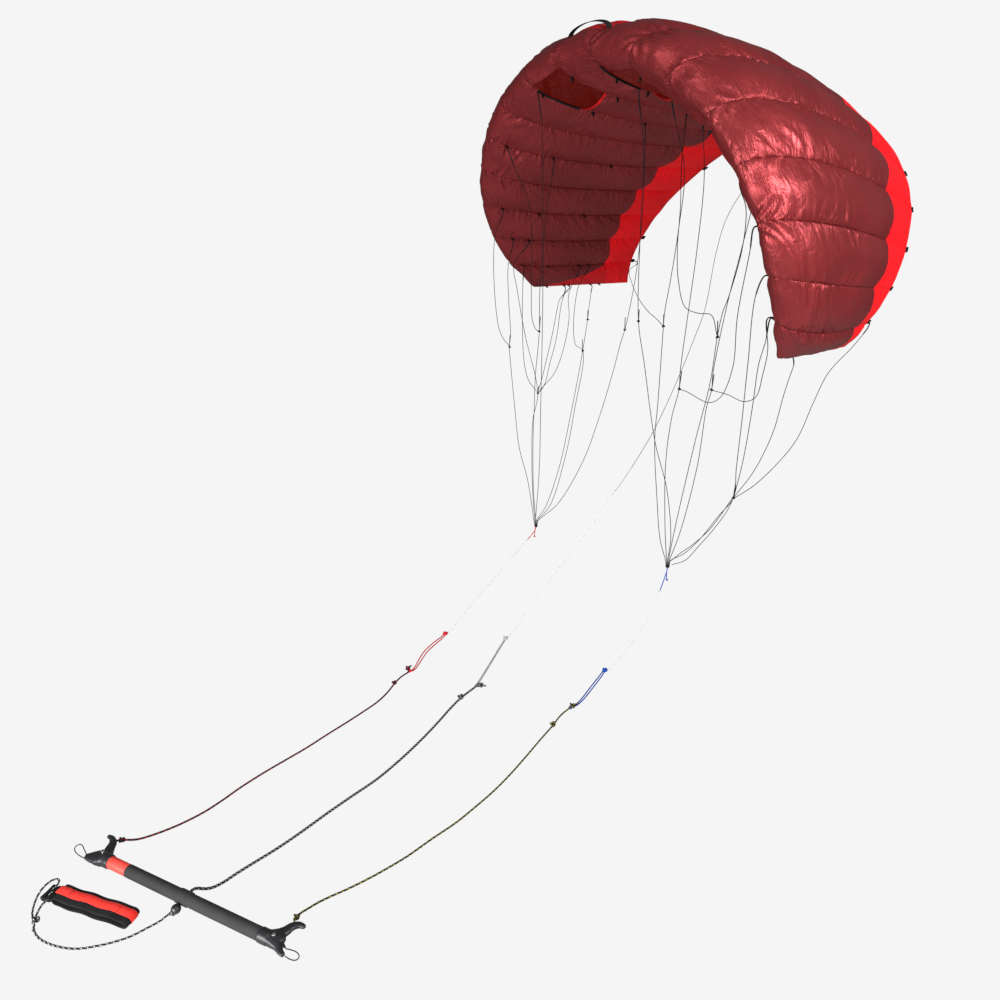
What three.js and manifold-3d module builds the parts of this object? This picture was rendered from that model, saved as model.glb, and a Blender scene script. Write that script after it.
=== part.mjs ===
// Inflated two-line power kite: arched cell canopy, bridle, flying lines, control bar and wrist strap.
// Millimetres, +Z up. The kite hangs by the webbing loop on top of its middle cell, and the origin is
// the highest point inside that loop. Canopy points are worked out from the nose of the middle cell:
// X runs across the span, Y from nose to tail, Z up. A rib index runs from 0 at one tip to CELLS at the other.
import * as THREE from "three";
import { mergeVertices } from "three/addons/utils/BufferGeometryUtils.js";
import Module from "manifold-3d";

const wasm = await Module();
wasm.setup();

// Canopy: 17 cells, 2.5 square metres laid flat
const CELLS = 17;
const CELL_WIDTH = 152;
const CELL_NARROWING = 0.19;
const CHORD = 1260;
const CHORD_TAPER = [0.61, -0.06];
const NOSE_SWEEP = [268, -97, 223];
const TILT = [107, 29, -10];
const PITCH = [5, 1.4];
const TOE = [4.4, 5];
const THICKNESS = 0.159;
const TIP_THICKENING = 0.12;
const LOWER_SHARE = 0.69;
const BULGE = 0.1;
const EDGE = 3;
const SEAM_UPPER = 0.69;
const SEAM_LOWER = 0.733;
const SEAM_SCALLOP = 0.012;
const SPINE_STEPS = 1700;
const GAP = 0.3;
const SEAM_GAP = 0.6;
const SKIN = 2;

// Air intakes: cell number, and where the mouth starts and ends along the chord at its two ribs
const INTAKES = [
  { cell: 7, start: [0.02, 0.02], end: [0.19, 0.17] },
  { cell: 9, start: [0.045, 0.03], end: [0.23, 0.2] },
];
const BINDING_WIDTH = 8;
const BINDING_THICKNESS = 2;
const BINDING_STAND = 3.6;

// Where the sections of a cell lie across it, and where its skin points lie along the chord
const ACROSS = [0, 0.08, 0.25, 0.5, 0.75, 0.92, 1];
const UPPER_CHORD = [0.54, 0.4, 0.27, 0.17, 0.1, 0.05, 0.015];
const LOWER_CHORD = [0.58, 0.43, 0.3, 0.18, 0.09, 0.04, 0];
const REAR_CHORD = 0.87;

// Hang loop on the middle cell
const LOOP_CHORD = 0.05;
const LOOP_WIDTH = 14;
const LOOP_THICKNESS = 2;
const LOOP_RISE = 28;
const LOOP_STEPS = 12;
const LOOP_CLEAR = 1;

// Control bar, lying on the floor under the kite; its own frame has X along the bar from the left end
const FLOOR = -2018;
const BAR_START = [58.6, -1583.3, -2000];
const BAR_TURN = 28.71;
const BAR_LENGTH = 525.6;
const GRIP_RADIUS = 16;
const RING_RADIUS = 18;
const RING_SPAN = [254, 288];
const SLEEVE_SPAN = [12, 75];
const SLEEVE_RADIUS = 15.5;
const COLLAR_RADIUS = 18;
const COLLAR_LENGTH = 34;
const FITTING_THICKNESS = 16;
const ELASTIC = 2.5;
const BALL_RADIUS = 12;
const ROUND_SIDES = 16;

// Wrist strap, beside the bar
const CUFF_LENGTH = 232;
const CUFF_HEIGHT = 24;
const CUFF_WIDTH = 46;
const CUFF_PAD = 5;
const CUFF_PLACE = [86, -108, -4.2];
const CUFF_TURN = 7;
const WEBBING_WIDTH = 22;
const WEBBING_OFFSET = 3.5;
const WEBBING_THICKNESS = 1.5;
const WEBBING_RETURN = 60;
const SLIDER = [34, 42, 16];
const SLIDER_OFFSET = -3;

// Cords
const BRIDLE = 2;
const FLYING_LINE = 2;
const LOOP_CORD = 3;
const LEADER = 6;
const LEASH = 5;
const CORD_SIDES = 8;
const TAB_CLEAR = 1;
const TAB_LENGTH = 14;
const KNOT_ROW_TURN = 53.4;
const KNOT_HALF = [9.5, 5, 7];
const KNOT_PITCH = 2.6;
const KNOT_CLEAR = 1;
const KNOT_LEFT = [-395, 230, -1660];
const KNOT_RIGHT = [355, 200, -1545];

const burgundy = new THREE.MeshStandardMaterial({ color: 0x7d282d, roughness: 0.45, metalness: 0 });
const red = new THREE.MeshStandardMaterial({ color: 0xe82a28, roughness: 0.5, metalness: 0 });
const black = new THREE.MeshStandardMaterial({ color: 0x1b1b1d, roughness: 0.7, metalness: 0 });
const foam = new THREE.MeshStandardMaterial({ color: 0x2d2d2e, roughness: 0.85, metalness: 0 });
const darkCord = new THREE.MeshStandardMaterial({ color: 0x2a2a2c, roughness: 0.8, metalness: 0 });
const whiteCord = new THREE.MeshStandardMaterial({ color: 0xe6e6e4, roughness: 0.7, metalness: 0 });
const blue = new THREE.MeshStandardMaterial({ color: 0x2c3f8c, roughness: 0.7, metalness: 0 });
const grey = new THREE.MeshStandardMaterial({ color: 0x6c6c6e, roughness: 0.7, metalness: 0 });

const radians = THREE.MathUtils.degToRad;
const clamp = THREE.MathUtils.clamp;
const lerp = THREE.MathUtils.lerp;
const point = ([x, y, z]) => new THREE.Vector3(x, y, z);

// Canopy curves, as functions of the share s of the half span, -1 to 1
const share = (i) => (i - CELLS / 2) / (CELLS / 2);
const tilt = (s) => radians(TILT[0] * s + TILT[1] * s ** 2 + TILT[2] * s ** 3);
const widthShare = (s) => 1 - CELL_NARROWING * s ** 2;
const chordAt = (s) => CHORD * (1 - CHORD_TAPER[0] * s ** 2 - CHORD_TAPER[1] * s ** 4);
const noseAt = (s) => NOSE_SWEEP[0] * s ** 2 + NOSE_SWEEP[1] * s ** 3 + NOSE_SWEEP[2] * s ** 4;
const cellWidth = (i) => CELL_WIDTH * widthShare(share(i));

// Nose line of the arch, summed outward from one tip and then moved so that its middle is at zero
function buildSpine() {
  const halfSpan = (CELL_WIDTH * CELLS) / 2;
  const step = 2 / SPINE_STEPS;
  const xs = [0];
  const zs = [0];
  for (let k = 0; k < SPINE_STEPS; k += 1) {
    const s = -1 + (k + 0.5) * step;
    const stretch = halfSpan * widthShare(s) * step;
    xs.push(xs[k] + Math.cos(tilt(s)) * stretch);
    zs.push(zs[k] - Math.sin(tilt(s)) * stretch);
  }
  const middle = SPINE_STEPS / 2;
  return { xs: xs.map((x) => x - xs[middle]), zs: zs.map((z) => z - zs[middle]) };
}
const spineTable = buildSpine();

function spine(s) {
  const place = clamp(((s + 1) / 2) * SPINE_STEPS, 0, SPINE_STEPS - 1e-6);
  const k = Math.floor(place);
  return {
    x: lerp(spineTable.xs[k], spineTable.xs[k + 1], place - k),
    z: lerp(spineTable.zs[k], spineTable.zs[k + 1], place - k),
  };
}

// Half thickness of a rib at the share t of its chord, for a rib that is `thick` chords thick
function halfThickness(t, thick) {
  const c = clamp(t, 0, 1);
  const shape = 0.2969 * Math.sqrt(c) - 0.126 * c - 0.3516 * c ** 2 + 0.2843 * c ** 3 - 0.1036 * c ** 4;
  return (thick / 0.2) * shape;
}

// Skin point in the flat plane of a rib section: u along the chord, v up; `out` stands it off the skin
function profilePoint(i, t, side, out = 0) {
  const s = share(i);
  const chord = chordAt(s);
  const thick = THICKNESS * (1 + TIP_THICKENING * s ** 2);
  const taper = Math.sin((clamp((1 - Math.abs(s)) * (CELLS / 2), 0, 1) * Math.PI) / 2);
  const fullness = side > 0 ? 1 : LOWER_SHARE;
  const ends = Math.min(1, Math.sqrt(8 * Math.max(t, 0))) * Math.min(1, Math.sqrt(4 * Math.max(1 - t, 0)));
  const bulge = BULGE * cellWidth(i) * Math.abs(Math.sin(Math.PI * i)) * ends;
  const rise = Math.max(halfThickness(t, thick) * fullness * taper * chord + bulge, EDGE / 2);
  return new THREE.Vector2(t * chord, side * (rise + out));
}

// Carries a point of a rib section into the canopy: pitched about the quarter chord, toed, then tilted
function place(i, { x: u, y: v }) {
  const s = share(i);
  const pivot = 0.25 * chordAt(s);
  const pitch = radians(PITCH[0] + PITCH[1] * s);
  const toe = radians(TOE[0] * s + TOE[1] * s ** 2);
  const along = (u - pivot) * Math.cos(pitch) + v * Math.sin(pitch);
  const up = -(u - pivot) * Math.sin(pitch) + v * Math.cos(pitch);
  const sideways = along * Math.sin(toe);
  const { x, z } = spine(s);
  return new THREE.Vector3(
    x + sideways * Math.cos(tilt(s)) + up * Math.sin(tilt(s)),
    noseAt(s) + along * Math.cos(toe) + pivot,
    z - sideways * Math.sin(tilt(s)) + up * Math.cos(tilt(s)),
  );
}

const skin = (i, t, side, out = 0) => place(i, profilePoint(i, t, side, out));

// Turns a geometry's faces outward, by the sign of its volume
function facingOut(geometry) {
  const flat = geometry.index ? geometry.toNonIndexed() : geometry;
  const p = flat.getAttribute("position");
  const [a, b, c] = [new THREE.Vector3(), new THREE.Vector3(), new THREE.Vector3()];
  let volume = 0;
  for (let k = 0; k < p.count; k += 3) {
    a.fromBufferAttribute(p, k);
    b.fromBufferAttribute(p, k + 1);
    c.fromBufferAttribute(p, k + 2);
    volume += a.dot(b.cross(c));
  }
  if (volume < 0) {
    for (let k = 0; k < p.count; k += 3) {
      const swap = [p.getX(k), p.getY(k), p.getZ(k)];
      p.setXYZ(k, p.getX(k + 1), p.getY(k + 1), p.getZ(k + 1));
      p.setXYZ(k + 1, ...swap);
    }
  }
  const bare = new THREE.BufferGeometry();
  bare.setAttribute("position", p);
  return mergeVertices(bare, 1e-4);
}

// Closed solid through equal loops of points. A loop lists one side and then the other side backwards,
// so its two end faces are closed by rungs between the sides.
function loft(loops) {
  const count = loops[0].length;
  const positions = loops.flat().flatMap((p) => [p.x, p.y, p.z]);
  const indices = [];
  for (let k = 0; k + 1 < loops.length; k += 1) {
    for (let j = 0; j < count; j += 1) {
      const [a, b] = [k * count + j, k * count + ((j + 1) % count)];
      indices.push(a, b, b + count, a, b + count, a + count);
    }
  }
  const last = (loops.length - 1) * count;
  for (let j = 0; j + 1 < count / 2; j += 1) {
    const [a, b, c, d] = [j, j + 1, count - 2 - j, count - 1 - j];
    indices.push(a, c, b, a, d, c);
    indices.push(last + a, last + b, last + c, last + a, last + c, last + d);
  }
  const geometry = new THREE.BufferGeometry();
  geometry.setAttribute("position", new THREE.Float32BufferAttribute(positions, 3));
  geometry.setIndex(indices);
  return facingOut(geometry);
}

function toManifold(geometry) {
  const bare = facingOut(geometry);
  const vertProperties = new Float32Array(bare.getAttribute("position").array);
  const triVerts = new Uint32Array(bare.getIndex().array);
  return new wasm.Manifold(new wasm.Mesh({ numProp: 3, vertProperties, triVerts }));
}

function fromManifold(solid) {
  const mesh = solid.getMesh();
  const geometry = new THREE.BufferGeometry();
  geometry.setAttribute("position", new THREE.Float32BufferAttribute(mesh.vertProperties, 3));
  geometry.setIndex(Array.from(mesh.triVerts));
  return geometry;
}

function part(parent, name, geometry, material) {
  const mesh = new THREE.Mesh(geometry, material);
  mesh.name = name;
  parent.add(mesh);
  return mesh;
}

// The colour seam lies a little further back in the middle of each cell
const seam = (i, side) =>
  (side > 0 ? SEAM_UPPER : SEAM_LOWER) + SEAM_SCALLOP * Math.abs(Math.sin(Math.PI * i));

// Loop of a front cell's section, from the upper seam round the nose to the lower seam
function frontProfile(i) {
  const clear = SEAM_GAP / 2 / chordAt(share(i));
  const upper = [seam(i, 1) - clear, ...UPPER_CHORD].map((t) => profilePoint(i, t, 1));
  const lower = [seam(i, -1) - clear, ...LOWER_CHORD].map((t) => profilePoint(i, t, -1));
  return [...upper, ...lower.reverse()];
}

// Moves a counterclockwise loop inward by `depth`, corner by corner
function inset(loop, depth) {
  return loop.map((corner, k) => {
    const before = loop[(k + loop.length - 1) % loop.length];
    const after = loop[(k + 1) % loop.length];
    const into = corner.clone().sub(before).normalize();
    const onward = after.clone().sub(corner).normalize();
    const first = new THREE.Vector2(-into.y, into.x);
    const second = new THREE.Vector2(-onward.y, onward.x);
    const miter = first.add(second).multiplyScalar(depth / (1 + into.dot(onward)));
    return corner.clone().add(miter);
  });
}

// Rib indices of a cell's sections, `margin` millimetres inside its two ribs
function sectionsAcross(cell, margin) {
  const rim = margin / cellWidth(cell + 0.5);
  return ACROSS.map((f) => cell + rim + f * (1 - 2 * rim));
}

const filledCell = (cell) =>
  loft(sectionsAcross(cell, GAP / 2).map((i) => frontProfile(i).map((p) => place(i, p))));

// Tool that opens a cell's lower skin between its ribs, from the mouth's start to its end along the chord
function mouthCutter({ cell, start, end }) {
  const stations = [0, 0.25, 0.5, 0.75, 1];
  const outside = 6;
  const inside = 14;
  const loops = sectionsAcross(cell, GAP / 2 + SKIN + 1).map((i) => {
    const from = lerp(start[0], start[1], i - cell);
    const to = lerp(end[0], end[1], i - cell);
    const below = stations.map((f) => profilePoint(i, lerp(from, to, f), -1, outside));
    const above = stations.map((f) => profilePoint(i, lerp(from, to, f), -1, -inside));
    return [...below, ...above.reverse()].map((p) => place(i, p));
  });
  return loft(loops);
}

function hollowCell(intake) {
  const loops = sectionsAcross(intake.cell, GAP / 2 + SKIN).map((i) =>
    inset(frontProfile(i), SKIN).map((p) => place(i, p)),
  );
  const solid = toManifold(filledCell(intake.cell));
  const opened = solid.subtract(toManifold(loft(loops))).subtract(toManifold(mouthCutter(intake)));
  return fromManifold(opened);
}

// Red rear panels: one strip behind the colour seam, across every cell
function rearPanels() {
  const indices = [];
  for (let cell = 0; cell < CELLS; cell += 1) {
    indices.push(...ACROSS.slice(0, -1).map((f) => cell + f));
  }
  indices.push(CELLS);
  const loops = indices.map((i) => {
    const clear = SEAM_GAP / 2 / chordAt(share(i));
    const upper = [seam(i, 1) + clear, REAR_CHORD, 1].map((t) => skin(i, t, 1));
    const lower = [seam(i, -1) + clear, REAR_CHORD, 1].map((t) => skin(i, t, -1));
    return [...upper, ...lower.reverse()];
  });
  return loft(loops);
}

// Tape along the near edge of an intake, just clear of the lower skin at that rib
function intakeBinding(rib) {
  const reach = BINDING_WIDTH / 2 / CELL_WIDTH;
  const stations = LOWER_CHORD.filter((t) => t >= 0.04 && t <= 0.18);
  const loops = stations.map((t) => [
    skin(rib - reach, t, -1, GAP),
    skin(rib + reach, t, -1, GAP),
    skin(rib + reach, t, -1, GAP + BINDING_THICKNESS),
    skin(rib - reach, t, -1, GAP + BINDING_THICKNESS),
  ]);
  return loft(loops);
}

// Foot of the hang loop on a rib, for a point `across` millimetres off the webbing's middle
function loopFoot(rib, across) {
  return skin(rib, LOOP_CHORD + across / CHORD, 1, LOOP_CLEAR);
}

const loopRibs = [Math.floor(CELLS / 2), Math.ceil(CELLS / 2)];
const loopFeet = loopRibs.map((rib) => loopFoot(rib, 0));
const hang = new THREE.Vector3(
  (loopFeet[0].x + loopFeet[1].x) / 2,
  (loopFeet[0].y + loopFeet[1].y) / 2,
  (loopFeet[0].z + loopFeet[1].z) / 2 + LOOP_RISE - LOOP_THICKNESS,
);

// Webbing arch from one rib to the next, standing on its two ends
function hangLoop() {
  const halfWidth = LOOP_WIDTH / 2;
  const loops = [];
  for (let k = 0; k <= LOOP_STEPS; k += 1) {
    const a = (k / LOOP_STEPS) * Math.PI;
    const reach = (1 - Math.cos(a)) / 2;
    const corner = (across, inward) => {
      const foot = loopFoot(loopRibs[0], across).lerp(loopFoot(loopRibs[1], across), reach);
      const halfSpan = (loopFeet[1].x - loopFeet[0].x) / 2 - inward;
      foot.x = hang.x - halfSpan * Math.cos(a);
      foot.z += (LOOP_RISE - inward) * Math.sin(a);
      return foot;
    };
    loops.push([
      corner(-halfWidth, 0),
      corner(halfWidth, 0),
      corner(halfWidth, LOOP_THICKNESS),
      corner(-halfWidth, LOOP_THICKNESS),
    ]);
  }
  return loft(loops);
}

function addCanopy(parent) {
  for (let cell = 0; cell < CELLS; cell += 1) {
    const intake = INTAKES.find((one) => one.cell === cell);
    const geometry = intake ? hollowCell(intake) : filledCell(cell);
    part(parent, `front_cell_${cell + 1}`, geometry, burgundy);
  }
  part(parent, "rear_panels", rearPanels(), red);
  part(parent, "hang_loop", hangLoop(), black);
  part(parent, "intake_binding_left", intakeBinding(INTAKES[0].cell), black);
  part(parent, "intake_binding_right", intakeBinding(INTAKES[1].cell), black);
}

// Round section for a cord
function cordSection(diameter) {
  const corners = [];
  for (let k = 0; k < CORD_SIDES; k += 1) {
    const a = (k / CORD_SIDES) * 2 * Math.PI;
    corners.push(new THREE.Vector2((Math.cos(a) * diameter) / 2, (Math.sin(a) * diameter) / 2));
  }
  return new THREE.Shape(corners);
}

function cord(parent, name, route, diameter, stepLength, material) {
  const points = route.map((p) => (Array.isArray(p) ? point(p) : p));
  const path = new THREE.CatmullRomCurve3(points, false, "centripetal");
  const steps = Math.min(80, Math.max(8, Math.round(path.getLength() / stepLength)));
  const options = { steps, extrudePath: path, bevelEnabled: false };
  const geometry = new THREE.ExtrudeGeometry(cordSection(diameter), options);
  part(parent, name, facingOut(geometry), material);
}

// A line's start: just clear of the lower skin at a rib, or of the tape on it, then straight out of it
const tab = (rib, t, tape = 0) => [
  skin(rib, t, -1, tape + TAB_CLEAR),
  skin(rib, t, -1, tape + TAB_CLEAR + TAB_LENGTH),
];

// A line's start at the trailing edge
const tailTab = (rib) => {
  const chord = chordAt(share(rib));
  return [skin(rib, 1 + TAB_CLEAR / chord, -1, -EDGE / 2), skin(rib, 1 + TAB_LENGTH / chord, -1, -EDGE / 2)];
};

// A line's end on top of a gathering knot: `slot` counts from the middle of the row
function ontoKnot(knot, slot) {
  const off = slot * KNOT_PITCH;
  const top = KNOT_HALF[2] * Math.sqrt(1 - (off / KNOT_HALF[0]) ** 2);
  const row = new THREE.Vector3(Math.cos(radians(KNOT_ROW_TURN)), Math.sin(radians(KNOT_ROW_TURN)), 0);
  const end = point(knot).addScaledVector(row, off).add(new THREE.Vector3(0, 0, top + KNOT_CLEAR));
  const above = end.clone().addScaledVector(row, off * 0.3).add(new THREE.Vector3(0, 0, 14));
  return [above, end];
}

function gatheringKnot(parent, name, knot, material) {
  const geometry = new THREE.SphereGeometry(1, 10, 6);
  geometry.scale(...KNOT_HALF);
  const mesh = part(parent, name, facingOut(geometry), material);
  mesh.position.set(...knot);
  mesh.rotation.z = radians(KNOT_ROW_TURN);
}

// Left side: five lines run down to the left gathering knot, a sixth from the middle rib,
// and a slack one from the tip ends on the second
function addLeftBridle(parent) {
  const lines = {
    bridle_left_1: [
      ...tab(2, 0.09), [-735, 335, -620], [-725, 330, -760], [-710, 330, -905], [-705, 320, -955],
      [-680, 310, -1040], [-625, 290, -1205], [-560, 265, -1360], [-485, 255, -1490], ...ontoKnot(KNOT_LEFT, -2.5),
    ],
    bridle_left_2: [
      ...tab(2, 0.18), [-740, 370, -620], [-725, 375, -720], [-680, 385, -905], [-605, 400, -1150],
      [-580, 355, -1255], [-535, 315, -1375], [-470, 270, -1530], ...ontoKnot(KNOT_LEFT, -1.5),
    ],
    bridle_left_3: [
      ...tab(7, 0.04, BINDING_STAND), [-245, 100, -150], [-320, 170, -370], [-380, 230, -685], [-415, 260, -1155],
      [-410, 255, -1420], ...ontoKnot(KNOT_LEFT, -0.5),
    ],
    bridle_left_4: [
      ...tab(0, 0.58), [-815, 890, -765], [-710, 780, -830], [-645, 715, -865], [-595, 635, -1050],
      [-525, 515, -1290], [-465, 415, -1450], [-415, 300, -1595], ...ontoKnot(KNOT_LEFT, 0.5),
    ],
    bridle_left_5: [
      ...tab(1, 0.58), [-745, 740, -740], [-655, 655, -970], [-615, 665, -995], [-540, 560, -1235],
      [-465, 445, -1420], [-400, 310, -1590], ...ontoKnot(KNOT_LEFT, 1.5),
    ],
    bridle_left_6: [
      ...tab(7, 0.43), [-245, 600, -370], [-295, 640, -630], [-320, 635, -805], [-330, 630, -865],
      [-335, 615, -920], [-335, 580, -1035], [-340, 515, -1230], [-340, 435, -1400], [-360, 320, -1570],
      ...ontoKnot(KNOT_LEFT, 2.5),
    ],
    bridle_left_7: [
      ...tab(0, 0.3), [-820, 710, -810], [-730, 605, -955], [-670, 520, -1045], [-625, 455, -1120],
      [-607.5, 413, -1146], [-605.4, 402, -1149.6],
    ],
  };
  for (const [name, route] of Object.entries(lines)) {
    cord(parent, name, route, BRIDLE, 80, darkCord);
  }
}

// Right side: six lines run down to the right gathering knot, the last of them through the knot
// where three shorter lines from the tip end
function addRightBridle(parent) {
  const lines = {
    bridle_right_1: [
      ...tab(10, 0.18), [175, 330, -290], [140, 365, -465], [115, 375, -620], [100, 375, -730],
      [95, 380, -780], [145, 325, -1035], [170, 295, -1155], [240, 250, -1340], [300, 215, -1470],
      ...ontoKnot(KNOT_RIGHT, -2.5),
    ],
    bridle_right_2: [
      ...tab(10, 0.3), [185, 415, -315], [190, 405, -525], [200, 375, -750], [215, 345, -910],
      [225, 335, -970], [225, 310, -1065], [245, 275, -1215], [310, 225, -1435], ...ontoKnot(KNOT_RIGHT, -1.5),
    ],
    bridle_right_3: [
      ...tab(9, 0.18, BINDING_STAND), [40, 285, -225], [10, 325, -465], [5, 350, -770], [55, 340, -910],
      [165, 305, -1170], [250, 285, -1310], [325, 240, -1460], ...ontoKnot(KNOT_RIGHT, -0.5),
    ],
    bridle_right_4: [
      ...tab(13, 0.09), [485, 240, -405], [460, 275, -510], [405, 310, -650], [385, 315, -700],
      [375, 315, -775], [365, 315, -925], [350, 290, -1110], [345, 235, -1405], ...ontoKnot(KNOT_RIGHT, 0.5),
    ],
    bridle_right_5: [
      ...tab(12, 0.3), [400, 385, -375], [380, 380, -520], [360, 370, -665], [350, 345, -895],
      [355, 340, -950], [350, 330, -1005], [360, 300, -1200], [362, 240, -1430], ...ontoKnot(KNOT_RIGHT, 1.5),
    ],
    bridle_right_6: [
      ...tab(15, 0.04), [560, 225, -625], [515, 290, -830], [490, 330, -1005], [470, 360, -1195],
      [465, 370, -1300], [440, 335, -1365], [420, 300, -1425], [405, 270, -1465], [385, 240, -1500],
      ...ontoKnot(KNOT_RIGHT, 2.5),
    ],
    bridle_right_7: [
      ...tab(16, 0.04), [545, 320, -770], [525, 330, -840], [505, 355, -975], [485, 370, -1160],
      [473, 364, -1280], [467.4, 369, -1297],
    ],
    bridle_right_8: [
      ...tab(17, 0.3), [487, 561, -830], [495, 565, -870], [490, 560, -910], [490, 540, -970],
      [495, 500, -1090], [485, 440, -1210], [469, 386, -1282], [465.8, 372.2, -1297.5],
    ],
    bridle_right_9: [
      ...tailTab(16), [493, 1001, -784], [490, 930, -845], [470, 825, -935], [480, 740, -1030],
      [500, 640, -1135], [495, 555, -1205], [480, 455, -1270], [467, 384, -1298], [465.4, 372.4, -1301.5],
    ],
  };
  for (const [name, route] of Object.entries(lines)) {
    cord(parent, name, route, BRIDLE, 80, darkCord);
  }
}

// Three flying lines, each ending in a doubled loop that holds a leader rope of the bar
function addLines(parent) {
  gatheringKnot(parent, "knot_left", KNOT_LEFT, darkCord);
  gatheringKnot(parent, "knot_right", KNOT_RIGHT, darkCord);
  const flyingLines = {
    line_left: [
      [-395, 230, -1667.6], [-395, 228, -1678], [-395, 205, -1699], [-394, 150, -1740], [-393, 90, -1784],
      [-392, 30, -1827], [-391, -30, -1869], [-390, -85, -1908], [-389, -140, -1949], [-388, -180, -1982],
      [-387, -205, -2001], [-386, -225, -2012], [-385, -240, -2016.5],
    ],
    line_right: [
      [355, 200, -1552.6], [355, 199, -1563], [352, 196, -1585], [345, 190, -1625], [335, 183, -1675],
      [320, 175, -1735], [300, 165, -1795], [280, 152, -1850], [255, 138, -1905], [232, 124, -1955],
      [213, 113, -1992], [202, 107, -2010], [192, 101, -2016.5],
    ],
    line_middle: [
      ...tailTab(8.5), [-7, 1282, -98], [-25, 1235, -130], [-60, 1170, -180], [-100, 1090, -255],
      [-135, 970, -425], [-130, 915, -555], [-85, 820, -775], [-75, 755, -890], [-60, 655, -1045], [-40, 535, -1195],
      [-35, 460, -1280], [-25, 340, -1390], [-25, 290, -1430], [-65, 235, -1550], [-105, 170, -1665],
      [-145, 100, -1780], [-175, 35, -1880], [-197, -20, -1965], [-206, -48, -2004], [-212, -66, -2016.5],
    ],
  };
  for (const [name, route] of Object.entries(flyingLines)) {
    cord(parent, name, route, FLYING_LINE, 60, name === "line_middle" ? darkCord : whiteCord);
  }
  const low = FLOOR + LOOP_CORD / 2;
  const loops = {
    loop_left: [
      [-384.9, -240.7, low], [-382, -250, low], [-370, -272, low], [-350, -320, low], [-322, -375, low],
      [-290, -418, low], [-265, -447, low], [-243, -478, low], [-240, -497, low],
    ],
    loop_right: [
      [191.4, 99.5, low], [193, 88, low], [210, 50, low], [240, -20, low], [268, -85, low],
      [281, -125, low], [284, -160, low],
    ],
    loop_middle: [
      [-211.7, -67, low], [-207, -74, low], [-170, -128, low], [-121, -198, low], [-70, -271, low],
      [-30, -329, low], [-17, -346, low],
    ],
  };
  const loopColours = { loop_left: red, loop_right: blue, loop_middle: grey };
  for (const [name, route] of Object.entries(loops)) {
    cord(parent, name, route, LOOP_CORD, 30, loopColours[name]);
  }
  const lying = FLOOR + LEADER / 2;
  const leaders = {
    leader_left: [
      [-240, -497.6, lying], [-228, -541, lying], [-208, -577, lying], [-172, -630, lying],
      [-146, -682, lying], [-128, -740, lying], [-107, -819, lying], [-87, -902, lying],
      [-67, -979, lying], [-53, -1051, lying], [-37, -1132, lying], [-17, -1210, lying], [3, -1270, lying],
      [18, -1328, lying], [24, -1403, lying], [18, -1472, lying], [12, -1504, -2013], [4, -1531, -2005],
      [0, -1543, -2001], [-0.6, -1550.3, -2000],
    ],
    leader_middle: [
      [-16.5, -346.7, lying], [-5, -385, lying], [8.5, -431, lying], [39, -499, lying], [70, -559, lying],
      [103, -627, lying], [135, -699, lying], [165, -775, lying], [195, -866, lying], [215, -963, lying],
      [233, -1045, lying], [255, -1135, lying], [270, -1208, lying], [278, -1267, lying],
      [286, -1322, lying], [293, -1360, lying], [296, -1388, -2011], [293, -1406, -2005],
      [285, -1420, -2001], [283.9, -1430.2, -2000], [287.4, -1436.8, -2000],
    ],
    leader_right: [
      [284.2, -160.8, lying], [285.5, -178, lying], [296, -218, lying], [318, -267, lying],
      [351, -352, lying], [392, -454, lying], [426, -545, lying], [449, -619, lying], [467, -694, lying],
      [482, -766, lying], [492, -856, lying], [503, -939, lying], [506, -1020, lying], [505, -1069, lying],
      [502, -1114, lying], [497, -1156, lying], [495, -1190, lying], [498, -1214, -2013],
      [504, -1233, -2007], [512, -1249, -2002], [521, -1259.7, -2000],
    ],
  };
  for (const [name, route] of Object.entries(leaders)) {
    cord(parent, name, route, LEADER, 24, black);
  }
}

// Solid turned about the bar's axis, from [place along the bar, radius] corners
function turned(corners) {
  const profile = corners.map(([along, radius]) => new THREE.Vector2(radius, along));
  const geometry = new THREE.LatheGeometry(profile, ROUND_SIDES);
  geometry.rotateZ(-Math.PI / 2);
  return facingOut(geometry);
}

// Flat piece with the given outline in the bar's plane, centred on the bar's axis
function plate(outline, thickness) {
  const shape = new THREE.Shape();
  outline(shape);
  const geometry = new THREE.ExtrudeGeometry(shape, { depth: thickness, bevelEnabled: false, curveSegments: 6 });
  geometry.translate(0, 0, -thickness / 2);
  return facingOut(geometry);
}

function endFitting(outline, collar) {
  return fromManifold(toManifold(plate(outline, FITTING_THICKNESS)).add(toManifold(turned(collar))));
}

// Left fitting: a long curved horn that holds the leader and a short blunt one beside it
const leftOutline = (shape) => {
  shape.moveTo(-2, 17);
  shape.quadraticCurveTo(-20, 26, -28, 50);
  shape.quadraticCurveTo(-42, 66, -78, 64);
  shape.quadraticCurveTo(-80, 56, -66, 53);
  shape.quadraticCurveTo(-46, 46, -42, 28);
  shape.quadraticCurveTo(-52, 14, -52, 2);
  shape.lineTo(-68, -13);
  shape.lineTo(-62, -22);
  shape.lineTo(-34, -26);
  shape.lineTo(-2, -17);
};

const rightOutline = (shape) => {
  shape.moveTo(528, 17);
  shape.quadraticCurveTo(545, 24, 552, 48);
  shape.quadraticCurveTo(562, 68, 584, 67);
  shape.quadraticCurveTo(600, 64, 602, 54);
  shape.quadraticCurveTo(580, 52, 576, 28);
  shape.quadraticCurveTo(576, 12, 583, 2);
  shape.lineTo(603, -18);
  shape.lineTo(590, -28);
  shape.quadraticCurveTo(565, -26, 528, -17);
};

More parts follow.
